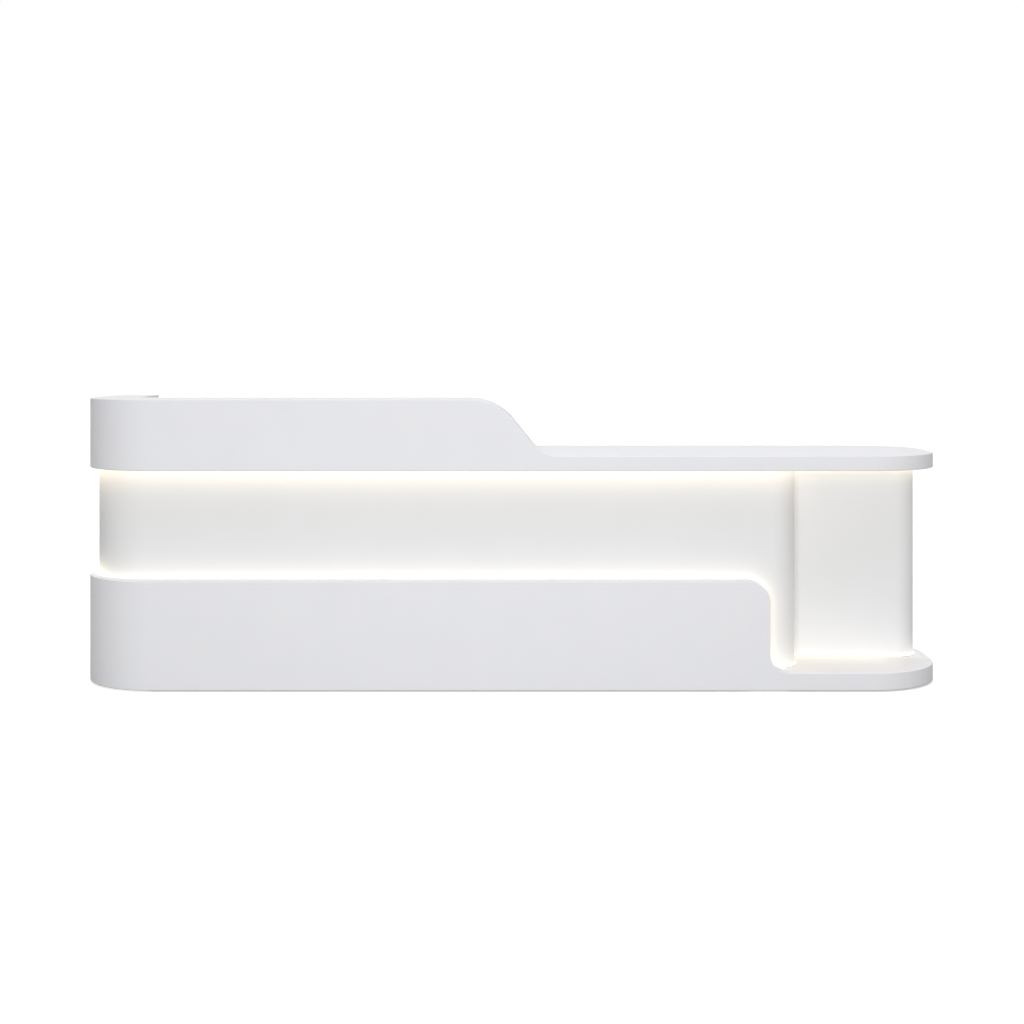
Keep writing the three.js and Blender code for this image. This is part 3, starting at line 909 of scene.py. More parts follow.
@dataclass(frozen=True)
class ShelfPin:
    """Steel pin with a collar, which carries a shelf.

    Attributes:
        radius: radius of the pin.
        length: how far the pin stands out.
        collar: radius of the collar.
        collar_height: how far the collar stands out.
        edge: reach of the rounding along its edges.
    """

    radius: float = 0.0025
    length: float = 0.012
    collar: float = 0.0048
    collar_height: float = 0.0015
    edge: float = 0.0004

    @cache
    def mesh(self) -> bpy.types.Mesh:
        """Model the pin once, with its end towards +Z.

        Returns:
            The pin's mesh.
        """
        piece = Bench.turned(self.collar, self.collar_height)
        with Bench.editing(piece, "FACE"):
            Bench.pick_faces(piece, Bench.is_cap)
            Bench.sink(self.collar - self.radius, (0.0, 0.0, self.length - self.collar_height))
        Bench.round_edges(piece, self.edge, 2)
        Bench.smooth(piece)
        return Bench.take_mesh(piece)


@dataclass(frozen=True)
class PinSleeve:
    """Plastic sleeve round a hole for a shelf pin.

    Attributes:
        radius: radius of the rim.
        bore: radius of the hole.
        rim: how far the rim stands out.
        hole: depth of the hole below the rim.
        sides: faces round the rim.
    """

    radius: float = 0.0038
    bore: float = 0.0026
    rim: float = 0.0005
    hole: float = 0.0004
    sides: int = 16

    @cache
    def mesh(self) -> bpy.types.Mesh:
        """Model the sleeve once, with material 1 at the bottom of the hole, painted black as the shade of a
        deep hole.

        Returns:
            The sleeve's mesh.
        """
        piece = Bench.turned(self.radius, self.rim, self.sides)
        with Bench.editing(piece, "FACE"):
            Bench.pick_faces(piece, Bench.is_cap)
            Bench.sink(self.radius - self.bore, (0.0, 0.0, -self.hole))
        Bench.smooth(piece)
        # Painted shade: the shallow hole's bottom takes material 1, black, for the dark inside a deep hole.
        Bench.paint_faces(piece, 1, Bench.is_cap)
        return Bench.take_mesh(piece)


@dataclass
class Piece:
    """A finished mesh, its finish, what it stands for and what it rides on.

    Attributes:
        mesh: the mesh object.
        finishes: the finish of each material number.
        slot: the record's slot for the main finish, not used here.
        body: the body that carries the piece.
        nodes: the CAD nodes that the piece stands for.
    """

    mesh: bpy.types.Object
    finishes: tuple[Finish, ...]
    slot: Slot
    body: Body = Body.DESK
    nodes: tuple[str, ...] = ()

    def dress(self) -> None:
        """Give the piece its materials and join it to the frame."""
        for number, finish in enumerate(self.finishes):
            if number < len(self.mesh.data.materials):
                self.mesh.data.materials[number] = finish.material()
            else:
                self.mesh.data.materials.append(finish.material())
        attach(self.mesh, self.body.value)
        if self.nodes:
            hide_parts(*self.nodes)
        LOG.info("%s rides on %s", self.mesh.name, self.body.value)


class SubAssembly:
    """Pieces of the desk that are built and dressed together."""

    def build(self) -> list[Piece]:
        """Return the finished pieces."""
        raise NotImplementedError

    def dress(self) -> None:
        """Build the pieces and dress each one."""
        for piece in self.build():
            piece.dress()

    @staticmethod
    def rounded(node: str, width: float, finish: Finish, slot: Slot, body: Body = Body.DESK) -> Piece:
        """Return a CAD node's rounded copy as a piece.

        Args:
            node: the CAD node that the piece stands for.
            width: reach of the rounding along its edges.
            finish: the piece's finish.
            slot: the record's slot for that finish.
            body: the body that carries the piece.

        Returns:
            The piece, ready to dress.
        """
        copy = Bench.copy_of(node)
        Bench.round_edges(copy, width)
        Bench.smooth(copy)
        return Piece(copy, (finish,), slot, body, (node,))

    @staticmethod
    def board(node: str, width: float) -> Piece:
        """Finish a CAD node as a melamine board with an edge band towards the staff side.

        Args:
            node: the CAD node of the board.
            width: reach of the rounding along its edges.

        Returns:
            The piece, ready to dress.
        """
        piece = SubAssembly.rounded(node, width, MELAMINE, Slot.MELAMINE)
        piece.finishes = (MELAMINE, EDGE_BAND)
        Bench.paint_faces(piece.mesh, 1, lambda centre, normal: normal.y > Bench.leaning)
        return piece


@dataclass(frozen=True)
class DeskLines:
    """Places that several sub-assemblies share, read from the frame.

    Attributes:
        soffit: underside of the upper band.
        rim: top of the plinth.
        ledge: top of the low ledge.
        panel_front: visitors' face of the middle panel.
        panel_left: outer face of the panel's left end.
        panel_right: outer face of the panel's right end.
        pedestal_right: outer face of the pedestal's right end.
        step_face: upright part of the plinth's step.
        counter_joint: where the swoop meets the low counter.
        ledge_joint: where the plinth meets the low ledge.
        step_radius: radius at the top of the plinth's step.
        step_fillet: radius at the foot of that step.
        step_drop: how far below the rim the further light beside the step starts.
        panel_radius: radius of the panel's left end.
        end_lead: how far the further light at an end reaches in at its full strength.
        head_lead: how far the pedestal's brightest light reaches down at its full strength.
        far: a coordinate past everything, for light that doesn't fall along a direction.
    """

    soffit: float
    rim: float
    ledge: float
    panel_front: float
    panel_left: float
    panel_right: float
    pedestal_right: float
    step_face: float
    counter_joint: float
    ledge_joint: float
    step_radius: float = 0.072
    step_fillet: float = 0.065
    step_drop: float = 0.030
    panel_radius: float = 0.200
    end_lead: float = 0.012
    head_lead: float = 0.022
    far: float = 100.0

    @classmethod
    def from_frame(cls) -> "DeskLines":
        """Read the places from the nodes' boxes.

        Returns:
            The places.
        """
        panel_low, panel_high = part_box("front_panel")
        plinth_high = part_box("plinth_shell")[1]
        return cls(
            soffit=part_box("low_counter")[0].z,
            rim=plinth_high.z,
            ledge=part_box("base_ledge")[1].z,
            panel_front=panel_low.y,
            panel_left=panel_low.x,
            panel_right=panel_high.x,
            pedestal_right=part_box("pedestal_column")[1].x,
            step_face=plinth_high.x - cls.step_fillet,
            counter_joint=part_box("counter_shell")[1].x,
            ledge_joint=plinth_high.x,
        )

    def under_soffit(self, reach: float, strength: float, lead: float = 0.0) -> Wash:
        """Return the light that falls down from under the upper band, at its full strength over a lead."""
        return Wash(Axis.DOWN, Axis.RIGHT, (lead - self.soffit, self.far), 0.0, reach, strength)

    def over_plinth(self, reach: float, strength: float) -> Wash:
        """Return the light that rises from behind the plinth's rim and round its step."""
        corner = (self.step_face - self.step_radius, self.rim - self.step_radius)
        return Wash(Axis.RIGHT, Axis.UP, corner, self.step_radius, reach, strength)

    def beside_step(self, reach: float, strength: float) -> Wash:
        """Return the further light beside the upright part of the plinth's step, less at its top."""
        corner = (self.step_face - self.step_radius, self.rim - self.step_radius - self.step_drop)
        return Wash(Axis.RIGHT, Axis.UP, corner, self.step_radius, reach, strength)

    def over_ledge(self, reach: float, strength: float) -> Wash:
        """Return the light that rises from the line on the low ledge."""
        return Wash(Axis.UP, Axis.RIGHT, (self.ledge, self.far), 0.0, reach, strength)

    def beside_niche(self, reach: float, strength: float) -> Wash:
        """Return the light that the lit pedestal throws back on the panel's end."""
        return Wash(Axis.LEFT, Axis.UP, (-self.panel_right, self.far), 0.0, reach, strength)

    def at_end(self, end: Axis, level: float, away: Axis, reach: float, strength: float) -> Wash:
        """Return the further light where a light line turns round an end.

        Args:
            end: LEFT for the panel's left end, or RIGHT for the pedestal's right end.
            level: where the line is, along the direction that leads away from it.
            away: that direction, up or down.
            reach: distance over which the light falls to about a third.
            strength: brightness right at the line.

        Returns:
            The light.
        """
        inward, face = Axis.RIGHT, self.panel_left
        if end is Axis.RIGHT:
            inward, face = Axis.LEFT, -self.pedestal_right
        return Wash(inward, away, (face + self.end_lead, level), 0.0, reach, strength)

    def before_panel(self, reach: float, strength: float) -> Wash:
        """Return the light on the rim beside the line that follows the middle panel."""
        corner = (-self.panel_left - self.panel_radius, -self.panel_front - self.panel_radius)
        return Wash(Axis.LEFT, Axis.VISITOR, corner, self.panel_radius, reach, strength)


LINES = DeskLines.from_frame()

WHITE_STONE = SatinFinish("white_solid_surface", (0.800, 0.802, 0.826), (0.788, 0.791, 0.818))
LIT_RIM = replace(WHITE_STONE, name="white_solid_surface_lit_rim", washes=(LINES.before_panel(0.050, 0.20),))
WHITE_LACQUER = SatinFinish("white_lacquer", (0.810, 0.810, 0.812), (0.800, 0.800, 0.802), cloud_scale=5.0)
LIT_PANEL = replace(
    WHITE_LACQUER,
    name="white_lacquer_lit_panel",
    washes=(
        LINES.under_soffit(0.052, 0.58),
        LINES.over_plinth(0.014, 0.15),
        LINES.over_ledge(0.038, 0.26),
        LINES.beside_step(0.030, 0.36),
        LINES.beside_niche(0.040, 0.07),
        LINES.at_end(Axis.LEFT, LINES.rim, Axis.UP, 0.026, 1.10),
        LINES.at_end(Axis.LEFT, -LINES.soffit, Axis.DOWN, 0.035, 0.60),
    ),
)
LIT_PEDESTAL = replace(
    WHITE_LACQUER,
    name="white_lacquer_lit_pedestal",
    # Painted light: base and clouds are a little lighter and bluer than the lacquer elsewhere, to cancel the
    # warm tint of the washes and lift the shaded pedestal.
    base=(0.816, 0.824, 0.836),
    shade=(0.806, 0.814, 0.826),
    washes=(
        LINES.under_soffit(0.022, 0.50),
        LINES.under_soffit(0.350, 0.11),
        LINES.under_soffit(0.014, 0.26, LINES.head_lead),
        LINES.over_ledge(0.040, 0.06),
        LINES.at_end(Axis.RIGHT, LINES.head_lead - LINES.soffit, Axis.DOWN, 0.016, 0.12),
        LINES.at_end(Axis.RIGHT, LINES.ledge, Axis.UP, 0.018, 0.40),
    ),
)
MELAMINE = SatinFinish("pale_melamine", (0.74, 0.74, 0.745), (0.70, 0.70, 0.71), cloud_scale=60.0,
                       roughness=(0.45, 0.6), skin_scale=1400.0, skin_depth=0.00006, specular=0.25)
EDGE_BAND = SatinFinish("pale_edge_band", (0.80, 0.80, 0.805), (0.78, 0.78, 0.785), cloud_scale=20.0,
                        roughness=(0.35, 0.45), skin_scale=1000.0, skin_depth=0.00003, specular=0.35)
BLACK_PLASTIC = SatinFinish("moulded_black_plastic", (0.030, 0.030, 0.032), (0.042, 0.042, 0.045),
                            cloud_scale=40.0, roughness=(0.45, 0.6), skin_scale=1800.0, skin_depth=0.0001,
                            specular=0.4)
OPAL = OpalFinish("lit_opal")
OPAL_EDGE = OpalFinish("warm_opal_edge", base=(0.60, 0.575, 0.53), strength=0.02)
BIRCH = WoodFinish("birch_plywood", (0.66, 0.51, 0.34), (0.58, 0.42, 0.25), (0.40, 0.27, 0.15),
                   (14.0, 1.6, 22.0))
BIRCH_ACROSS = replace(BIRCH, name="birch_plywood_across", stretch=(1.6, 14.0, 22.0))
PLY_ACROSS = PlyEdgeFinish("birch_edge_across", Axis.RIGHT)
PLY_BACK = PlyEdgeFinish("birch_edge_back", Axis.STAFF)
ALUMINIUM = MetalFinish("anodised_aluminium", (0.74, 0.75, 0.77), (0.66, 0.67, 0.69), (4.0, 700.0, 700.0))
STEEL = MetalFinish("satin_nickel_steel", (0.62, 0.62, 0.63), (0.52, 0.52, 0.53), (6.0, 900.0, 900.0))


@dataclass
class UpperCounter(SubAssembly):
    """Upper band with its swoop, and the low counter that runs on from it.

    Attributes:
        edge: reach of the rounding along the edges.
    """

    edge: float = 0.004

    def build(self) -> list[Piece]:
        """Round the band and the low counter, but not along their joint.

        Returns:
            The band and the low counter.
        """
        pieces = []
        for node in ("counter_shell", "low_counter"):
            copy = Bench.copy_of(node)
            Bench.round_edges(copy, self.edge, spare=self.at_joint)
            Bench.smooth(copy)
            pieces.append(Piece(copy, (WHITE_STONE,), Slot.SOLID_SURFACE, nodes=(node,)))
        return pieces

    @staticmethod
    def at_joint(first: Vector, second: Vector) -> bool:
        """Say whether an edge lies in the glued joint of band and low counter."""
        return all(abs(end.x - LINES.counter_joint) < Bench.plane_slack for end in (first, second))


@dataclass
class MiddlePanel(SubAssembly):
    """Recessed panel that bends round the left end and the step's end.

    Attributes:
        edge: reach of the rounding along the edges.
        spine_depth: how far behind the panel's front lies the line that outer faces look away from.
        spine_left: how far that line's left end lies inside the panel's left end.
        spine_right: how far its right end lies inside the panel's right end.
    """

    edge: float = 0.0012
    spine_depth: float = 0.240
    spine_left: float = 0.225
    spine_right: float = 0.094

    def build(self) -> list[Piece]:
        """Round the panel and light its outer faces alone.

        Returns:
            The panel.
        """
        panel = Bench.copy_of("front_panel")
        Bench.round_edges(panel, self.edge, segments=2)
        Bench.smooth(panel)
        Bench.paint_faces(panel, 1, self.looks_out)
        return [Piece(panel, (WHITE_LACQUER, LIT_PANEL), Slot.LACQUER, nodes=("front_panel",))]

    def looks_out(self, centre: Vector, normal: Vector) -> bool:
        """Say whether a face looks away from the staff side's hollow.

        Args:
            centre: the face's centre.
            normal: its normal.

        Returns:
            Whether it does.
        """
        left = LINES.panel_left + self.spine_left
        right = LINES.panel_right - self.spine_right
        nearest = Vector((min(max(centre.x, left), right), LINES.panel_front + self.spine_depth))
        return (centre.xy - nearest).dot(normal.xy) > 0.0


@dataclass
class Plinth(SubAssembly):
    """Plinth with its S step, the low ledge and the feet.

    Attributes:
        edge: reach of the rounding along the shells' edges.
        lower_edge: reach of the rounding along the shells' lower edges.
        lower_height: height below which an edge is a lower one.
        foot_edge: reach of the rounding along the feet's edges.
        foot_count: number of feet.
        rim_lean: cosine from which a face leans enough to catch the rim's light.
        ledge_fade: how far before the pedestal's right end the ledge's light starts to fade.
    """

    edge: float = 0.002
    lower_edge: float = 0.0045
    lower_height: float = 0.010
    foot_edge: float = 0.0008
    foot_count: int = 6
    rim_lean: float = 0.3
    ledge_fade: float = 0.17

    def build(self) -> list[Piece]:
        """Round the shells and the feet, and light the rim and the ledge's top.

        Returns:
            The plinth, the ledge and the feet.
        """
        plinth = self.shell("plinth_shell")
        Bench.paint_faces(plinth, 1, self.is_rim)
        ledge = self.shell("base_ledge")
        Bench.paint_faces(ledge, 1, self.is_top)
        pieces = [
            Piece(plinth, (WHITE_STONE, LIT_RIM), Slot.SOLID_SURFACE, nodes=("plinth_shell",)),
            Piece(ledge, (WHITE_STONE, self.lit_ledge()), Slot.SOLID_SURFACE, nodes=("base_ledge",)),
        ]
        for number in range(1, self.foot_count + 1):
            pieces.append(self.rounded(f"glide_{number}", self.foot_edge, BLACK_PLASTIC, Slot.PLASTIC))
        return pieces

    def shell(self, node: str) -> bpy.types.Object:
        """Round a shell's copy, more along its lower edges than along its rim.

        Args:
            node: the CAD node of the shell.

        Returns:
            The rounded copy.
        """
        copy = Bench.copy_of(node)
        Bench.round_edges(copy, self.lower_edge, 4, self.above_foot)
        Bench.round_edges(copy, self.edge, spare=self.at_joint)
        Bench.smooth(copy)
        return copy

    def above_foot(self, first: Vector, second: Vector) -> bool:
        """Say whether an edge is not one of the lower edges, or lies in the joint."""
        return max(first.z, second.z) > self.lower_height or self.at_joint(first, second)

    def lit_ledge(self) -> SatinFinish:
        """Make the finish of the ledge's top, lit from the foot of the pedestal.

        Returns:
            The finish.
        """
        low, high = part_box("pedestal_column")
        fade = (high.x - self.ledge_fade, -low.y)
        wide = Wash(Axis.RIGHT, Axis.VISITOR, fade, 0.0, reach=0.25, strength=0.33, squeeze=3.0)
        near = Wash(Axis.RIGHT, Axis.VISITOR, (high.x, -low.y), 0.0, reach=0.030, strength=0.12)
        return replace(WHITE_STONE, name="white_solid_surface_lit_ledge", washes=(wide, near))

    @staticmethod
    def at_joint(first: Vector, second: Vector) -> bool:
        """Say whether an edge lies in the glued joint of plinth and ledge."""
        return all(abs(end.x - LINES.ledge_joint) < Bench.plane_slack for end in (first, second))

    def is_rim(self, centre: Vector, normal: Vector) -> bool:
        """Say whether a face belongs to the rim, along the top or down the step."""
        past_step = centre.x > LINES.step_face - LINES.step_radius
        return normal.z > self.rim_lean or (past_step and normal.x > self.rim_lean)

    @staticmethod
    def is_top(centre: Vector, normal: Vector) -> bool:
        """Say whether a face looks up."""
        return normal.z > Bench.leaning


@dataclass
class Pedestal(SubAssembly):
    """Rounded column on the low ledge.

    Attributes:
        edge: reach of the rounding along its edges.
    """

    edge: float = 0.0012

    def build(self) -> list[Piece]:
        """Return the column."""
        return [self.rounded("pedestal_column", self.edge, LIT_PEDESTAL, Slot.LACQUER)]


@dataclass
class LightLines(SubAssembly):
    """Opal strips and the aluminium carriers behind them.

    Attributes:
        strips: CAD nodes of the strips that glow all over.
        carriers: CAD nodes of the carriers.
        edge: reach of the rounding along their edges.
    """

    strips: tuple[str, ...] = ("soffit_led_diffuser", "plinth_led_diffuser", "pedestal_head_diffuser")
    carriers: tuple[str, ...] = ("soffit_led_channel", "plinth_led_channel")
    edge: float = 0.0006

    def build(self) -> list[Piece]:
        """Round the strips and carriers, and dim the edge of the pedestal's foot strip.

        Returns:
            The strips and carriers.
        """
        foot = self.rounded("pedestal_foot_diffuser", self.edge, OPAL, Slot.OPAL)
        foot.finishes = (OPAL, OPAL_EDGE)
        Bench.paint_faces(foot.mesh, 1, self.is_upright)
        pieces = [foot] + [self.rounded(node, self.edge, OPAL, Slot.OPAL) for node in self.strips]
        return pieces + [self.rounded(node, self.edge, ALUMINIUM, Slot.ALUMINIUM) for node in self.carriers]

    @staticmethod
    def is_upright(centre: Vector, normal: Vector) -> bool:
        """Say whether a face stands upright."""
        return abs(normal.z) < Bench.leaning


@dataclass
class StaffSide(SubAssembly):
    """Worktop, end panel, cleat, batten, brackets and cable outlet.

    Attributes:
        board_edge: reach of the rounding along boards.
        metal_edge: reach of the rounding along metal and plastic.
        plate_half: half the width of a bracket's plates.
        plate_sheet: thickness of those plates.
        plate_corner: radius of their corners.
        screw_reach: how far their screws stand from the middle.
        screw: the screws.
    """

    board_edge: float = 0.0012
    metal_edge: float = 0.0008
    plate_half: float = 0.024
    plate_sheet: float = 0.003
    plate_corner: float = 0.005
    screw_reach: float = 0.015
    screw: Screw = Screw()

    def build(self) -> list[Piece]:
        """Finish what staff see beside the storage.

        Returns:
            The boards, battens, brackets and the cable outlet.
        """
        pieces = [self.board(node, self.board_edge) for node in ("staff_worktop", "left_end_panel")]
        pieces += [self.rounded(node, self.board_edge, BIRCH, Slot.PLYWOOD)
                   for node in ("worktop_cleat", "plinth_batten")]
        for node in ("ledge_bracket_1", "ledge_bracket_2"):
            pieces.append(self.rounded(node, self.metal_edge, STEEL, Slot.STEEL))
            pieces += self.bracket_plates(node)
        pieces.append(self.rounded("cable_grommet", self.metal_edge, BLACK_PLASTIC, Slot.PLASTIC))
        return pieces

    def bracket_plates(self, node: str) -> list[Piece]:
        """Make the two plates that a bracket is welded to, and their screws.

        Args:
            node: the CAD node of the bracket.

        Returns:
            The plates and the screws.
        """
        low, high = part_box(node)
        middle = (low.x + high.x) / 2.0
        left, right = middle - self.plate_half, middle + self.plate_half
        under, face = high.z - self.plate_sheet, low.y + self.plate_sheet
        top = Bench.plate(node + "_top_plate", (left, face, under), (right, high.y, high.z),
                          self.plate_corner, self.metal_edge)
        wall = Bench.plate(node + "_wall_plate", (left, low.y, low.z), (right, face, under),
                           self.plate_corner, self.metal_edge)
        meshes = [top, wall]
        for number, reach in enumerate((-self.screw_reach, self.screw_reach), 1):
            over = (middle + reach, (face + high.y) / 2.0, under)
            beside = (middle + reach, face, (low.z + under) / 2.0)
            name = f"{node}_screw_{number}"
            meshes.append(Bench.place_copy(self.screw.mesh(), name + "_top", over, Axis.DOWN))
            meshes.append(Bench.place_copy(self.screw.mesh(), name + "_wall", beside, Axis.STAFF))
        return [Piece(mesh, (STEEL,), Slot.STEEL) for mesh in meshes]


@dataclass
class Storage(SubAssembly):
    """Carcass of the drawers and the cupboard.

    Attributes:
        boards: CAD nodes of its boards.
        edge: reach of the rounding along the boards.
        pin_inset: distance of the shelf's pins from its front and back.
        hole_pitch: distance between the pin holes.
        holes_each_way: pin holes above the shelf's pins, and as many below.
        pin: the shelf's pins.
        sleeve: the sleeves in the pin holes.
    """

    boards: tuple[str, ...] = ("storage_side_left", "storage_side_right", "storage_divider",
                               "storage_bottom", "storage_back", "kick_board", "cupboard_shelf")
    edge: float = 0.001
    pin_inset: float = 0.045
    hole_pitch: float = 0.032
    holes_each_way: int = 7
    pin: ShelfPin = ShelfPin()
    sleeve: PinSleeve = PinSleeve()

    def build(self) -> list[Piece]:
        """Finish the boards and set the shelf's pins and the rows of holes for them.

        Returns:
            The boards, the pins and the rows of holes.
        """
        pieces = [self.board(node, self.edge) for node in self.boards]
        low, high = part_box("cupboard_shelf")
        walls = {"left": (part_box("storage_divider")[1].x, Axis.RIGHT),
                 "right": (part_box("storage_side_right")[0].x, Axis.LEFT)}
        depths = {"near": low.y + self.pin_inset, "far": high.y - self.pin_inset}
        for side, (wall, heading) in walls.items():
            for row, depth in depths.items():
                place = (wall, depth, low.z - self.pin.radius)
                pin = Bench.place_copy(self.pin.mesh(), f"shelf_pin_{side}_{row}", place, heading)
                holes = self.hole_row(f"pin_holes_{side}_{row}", place, heading)
                pieces.append(Piece(pin, (STEEL,), Slot.STEEL))
                # The black plastic on the hole bottoms is painted shade for deep pin holes.
                pieces.append(Piece(holes, (EDGE_BAND, BLACK_PLASTIC), Slot.MELAMINE))
        return pieces

    def hole_row(self, name: str, middle: Point, heading: Axis) -> bpy.types.Object:
        """Make an upright row of pin holes, as many above its middle as below.

        Args:
            name: the row's name.
            middle: where its middle hole is.
            heading: the way its wall looks.

        Returns:
            The row.
        """
        lowest = (middle[0], middle[1], middle[2] - self.holes_each_way * self.hole_pitch)
        row = Bench.place_copy(self.sleeve.mesh(), name, lowest, heading)
        Bench.activate(row)
        bpy.ops.object.modifier_add(type="ARRAY")
        copies = row.modifiers[-1]
        copies.count = 2 * self.holes_each_way + 1
        copies.use_relative_offset = False
        copies.use_constant_offset = True
        copies.constant_offset_displace = (0.0, 0.0, self.hole_pitch)
        bpy.ops.object.modifier_apply(modifier=copies.name)
        return row


@dataclass
class Drawer(SubAssembly):
    """One drawer with its front, box, pull and runners.

    Attributes:
        number: the drawer's number, from the top.
        front_edge: reach of the rounding along the front.
        box_edge: reach of the rounding along the box.
        box_wall: thickness of the box's walls.
        metal_edge: reach of the rounding along runners and rails.
        pull_edge: reach of the rounding along the pull.
        groove_margin: width of the rails' flat edges beside their groove.
        groove_depth: depth of that groove.
        screw_count: screws in each groove.
        screw: those screws.
    """

    number: int
    front_edge: float = 0.0015
    box_edge: float = 0.001
    box_wall: float = 0.012
    metal_edge: float = 0.0004
    pull_edge: float = 0.0025
    groove_margin: float = 0.008
    groove_depth: float = 0.003
    screw_count: int = 3
    screw: Screw = Screw(radius=0.0034, head=0.0020, drive=0.0014)

    def build(self) -> list[Piece]:
        """Finish the drawer, with its outer runners on the desk and the rest on the drawer.

        Returns:
            The drawer's pieces.
        """
        name = f"drawer_{self.number}"
        body = Body(name)
        pieces = [
            self.rounded(name + "_front", self.front_edge, WHITE_LACQUER, Slot.LACQUER, body),
            self.box(name + "_box", body),
            self.rounded(name + "_pull", self.pull_edge, STEEL, Slot.STEEL, body),
        ]
        for side, outward in (("left", Axis.LEFT), ("right", Axis.RIGHT)):
            pieces.append(self.rounded(f"{name}_runner_{side}", self.metal_edge, STEEL, Slot.STEEL))
            pieces += self.rail(f"{name}_rail_{side}", outward, body)
        return pieces

    def rail(self, node: str, outward: Axis, body: Body) -> list[Piece]:
        """Cut a groove along a rail's outer face and set the screws in it.

        Args:
            node: the CAD node of the rail.
            outward: the way its outer face looks.
            body: the drawer's body.

        Returns:
            The rail and its screws.
        """
        low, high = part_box(node)
        out = Vector(outward.value)
        copy = Bench.copy_of(node)
        with Bench.editing(copy, "FACE"):
            Bench.pick_faces(copy, lambda centre, normal: normal.dot(out) > Bench.facing)
            Bench.sink(self.groove_margin, tuple(out * -self.groove_depth))
        Bench.round_edges(copy, self.metal_edge)
        Bench.smooth(copy)
        pieces = [Piece(copy, (STEEL,), Slot.STEEL, body, (node,))]
        face = high.x if outward is Axis.RIGHT else low.x
        for number in range(1, self.screw_count + 1):
            along = low.y + (high.y - low.y) * number / (self.screw_count + 1)
            place = (face - out.x * self.groove_depth, along, (low.z + high.z) / 2.0)
            screw = Bench.place_copy(self.screw.mesh(), f"{node}_screw_{number}", place, outward)
            pieces.append(Piece(screw, (STEEL,), Slot.STEEL, body))
        return pieces

    def box(self, node: str, body: Body) -> Piece:
        """Finish a drawer's box, whose sides run right through and show their layers along the rim.

        Args:
            node: the CAD node of the box.
            body: the drawer's body.

        Returns:
            The box.
        """
        low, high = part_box(node)
        inner = (low.x + self.box_wall, high.x - self.box_wall)
        copy = Bench.copy_of(node)
        with Bench.editing(copy, "FACE"):
            for side in inner:
                bpy.ops.mesh.select_all(action="SELECT")
                bpy.ops.mesh.bisect(plane_co=(side, 0.0, 0.0), plane_no=Axis.RIGHT.value)
        Bench.round_edges(copy, self.box_edge)
        Bench.smooth(copy)

        def on_rim(centre: Vector, normal: Vector) -> bool:
            """Say whether a face lies along the rim."""
            return normal.z > Bench.facing and centre.z > high.z - Bench.plane_slack

        def on_side(centre: Vector, normal: Vector) -> bool:
            """Say whether a face lies along the rim of a side."""
            return on_rim(centre, normal) and not inner[0] < centre.x < inner[1]

        Bench.paint_faces(copy, 1, on_rim)
        Bench.paint_faces(copy, 2, on_side)
        Bench.paint_faces(copy, 3, lambda centre, normal: abs(normal.y) > Bench.leaning)
        return Piece(copy, (BIRCH, PLY_BACK, PLY_ACROSS, BIRCH_ACROSS), Slot.PLYWOOD, body, (node,))


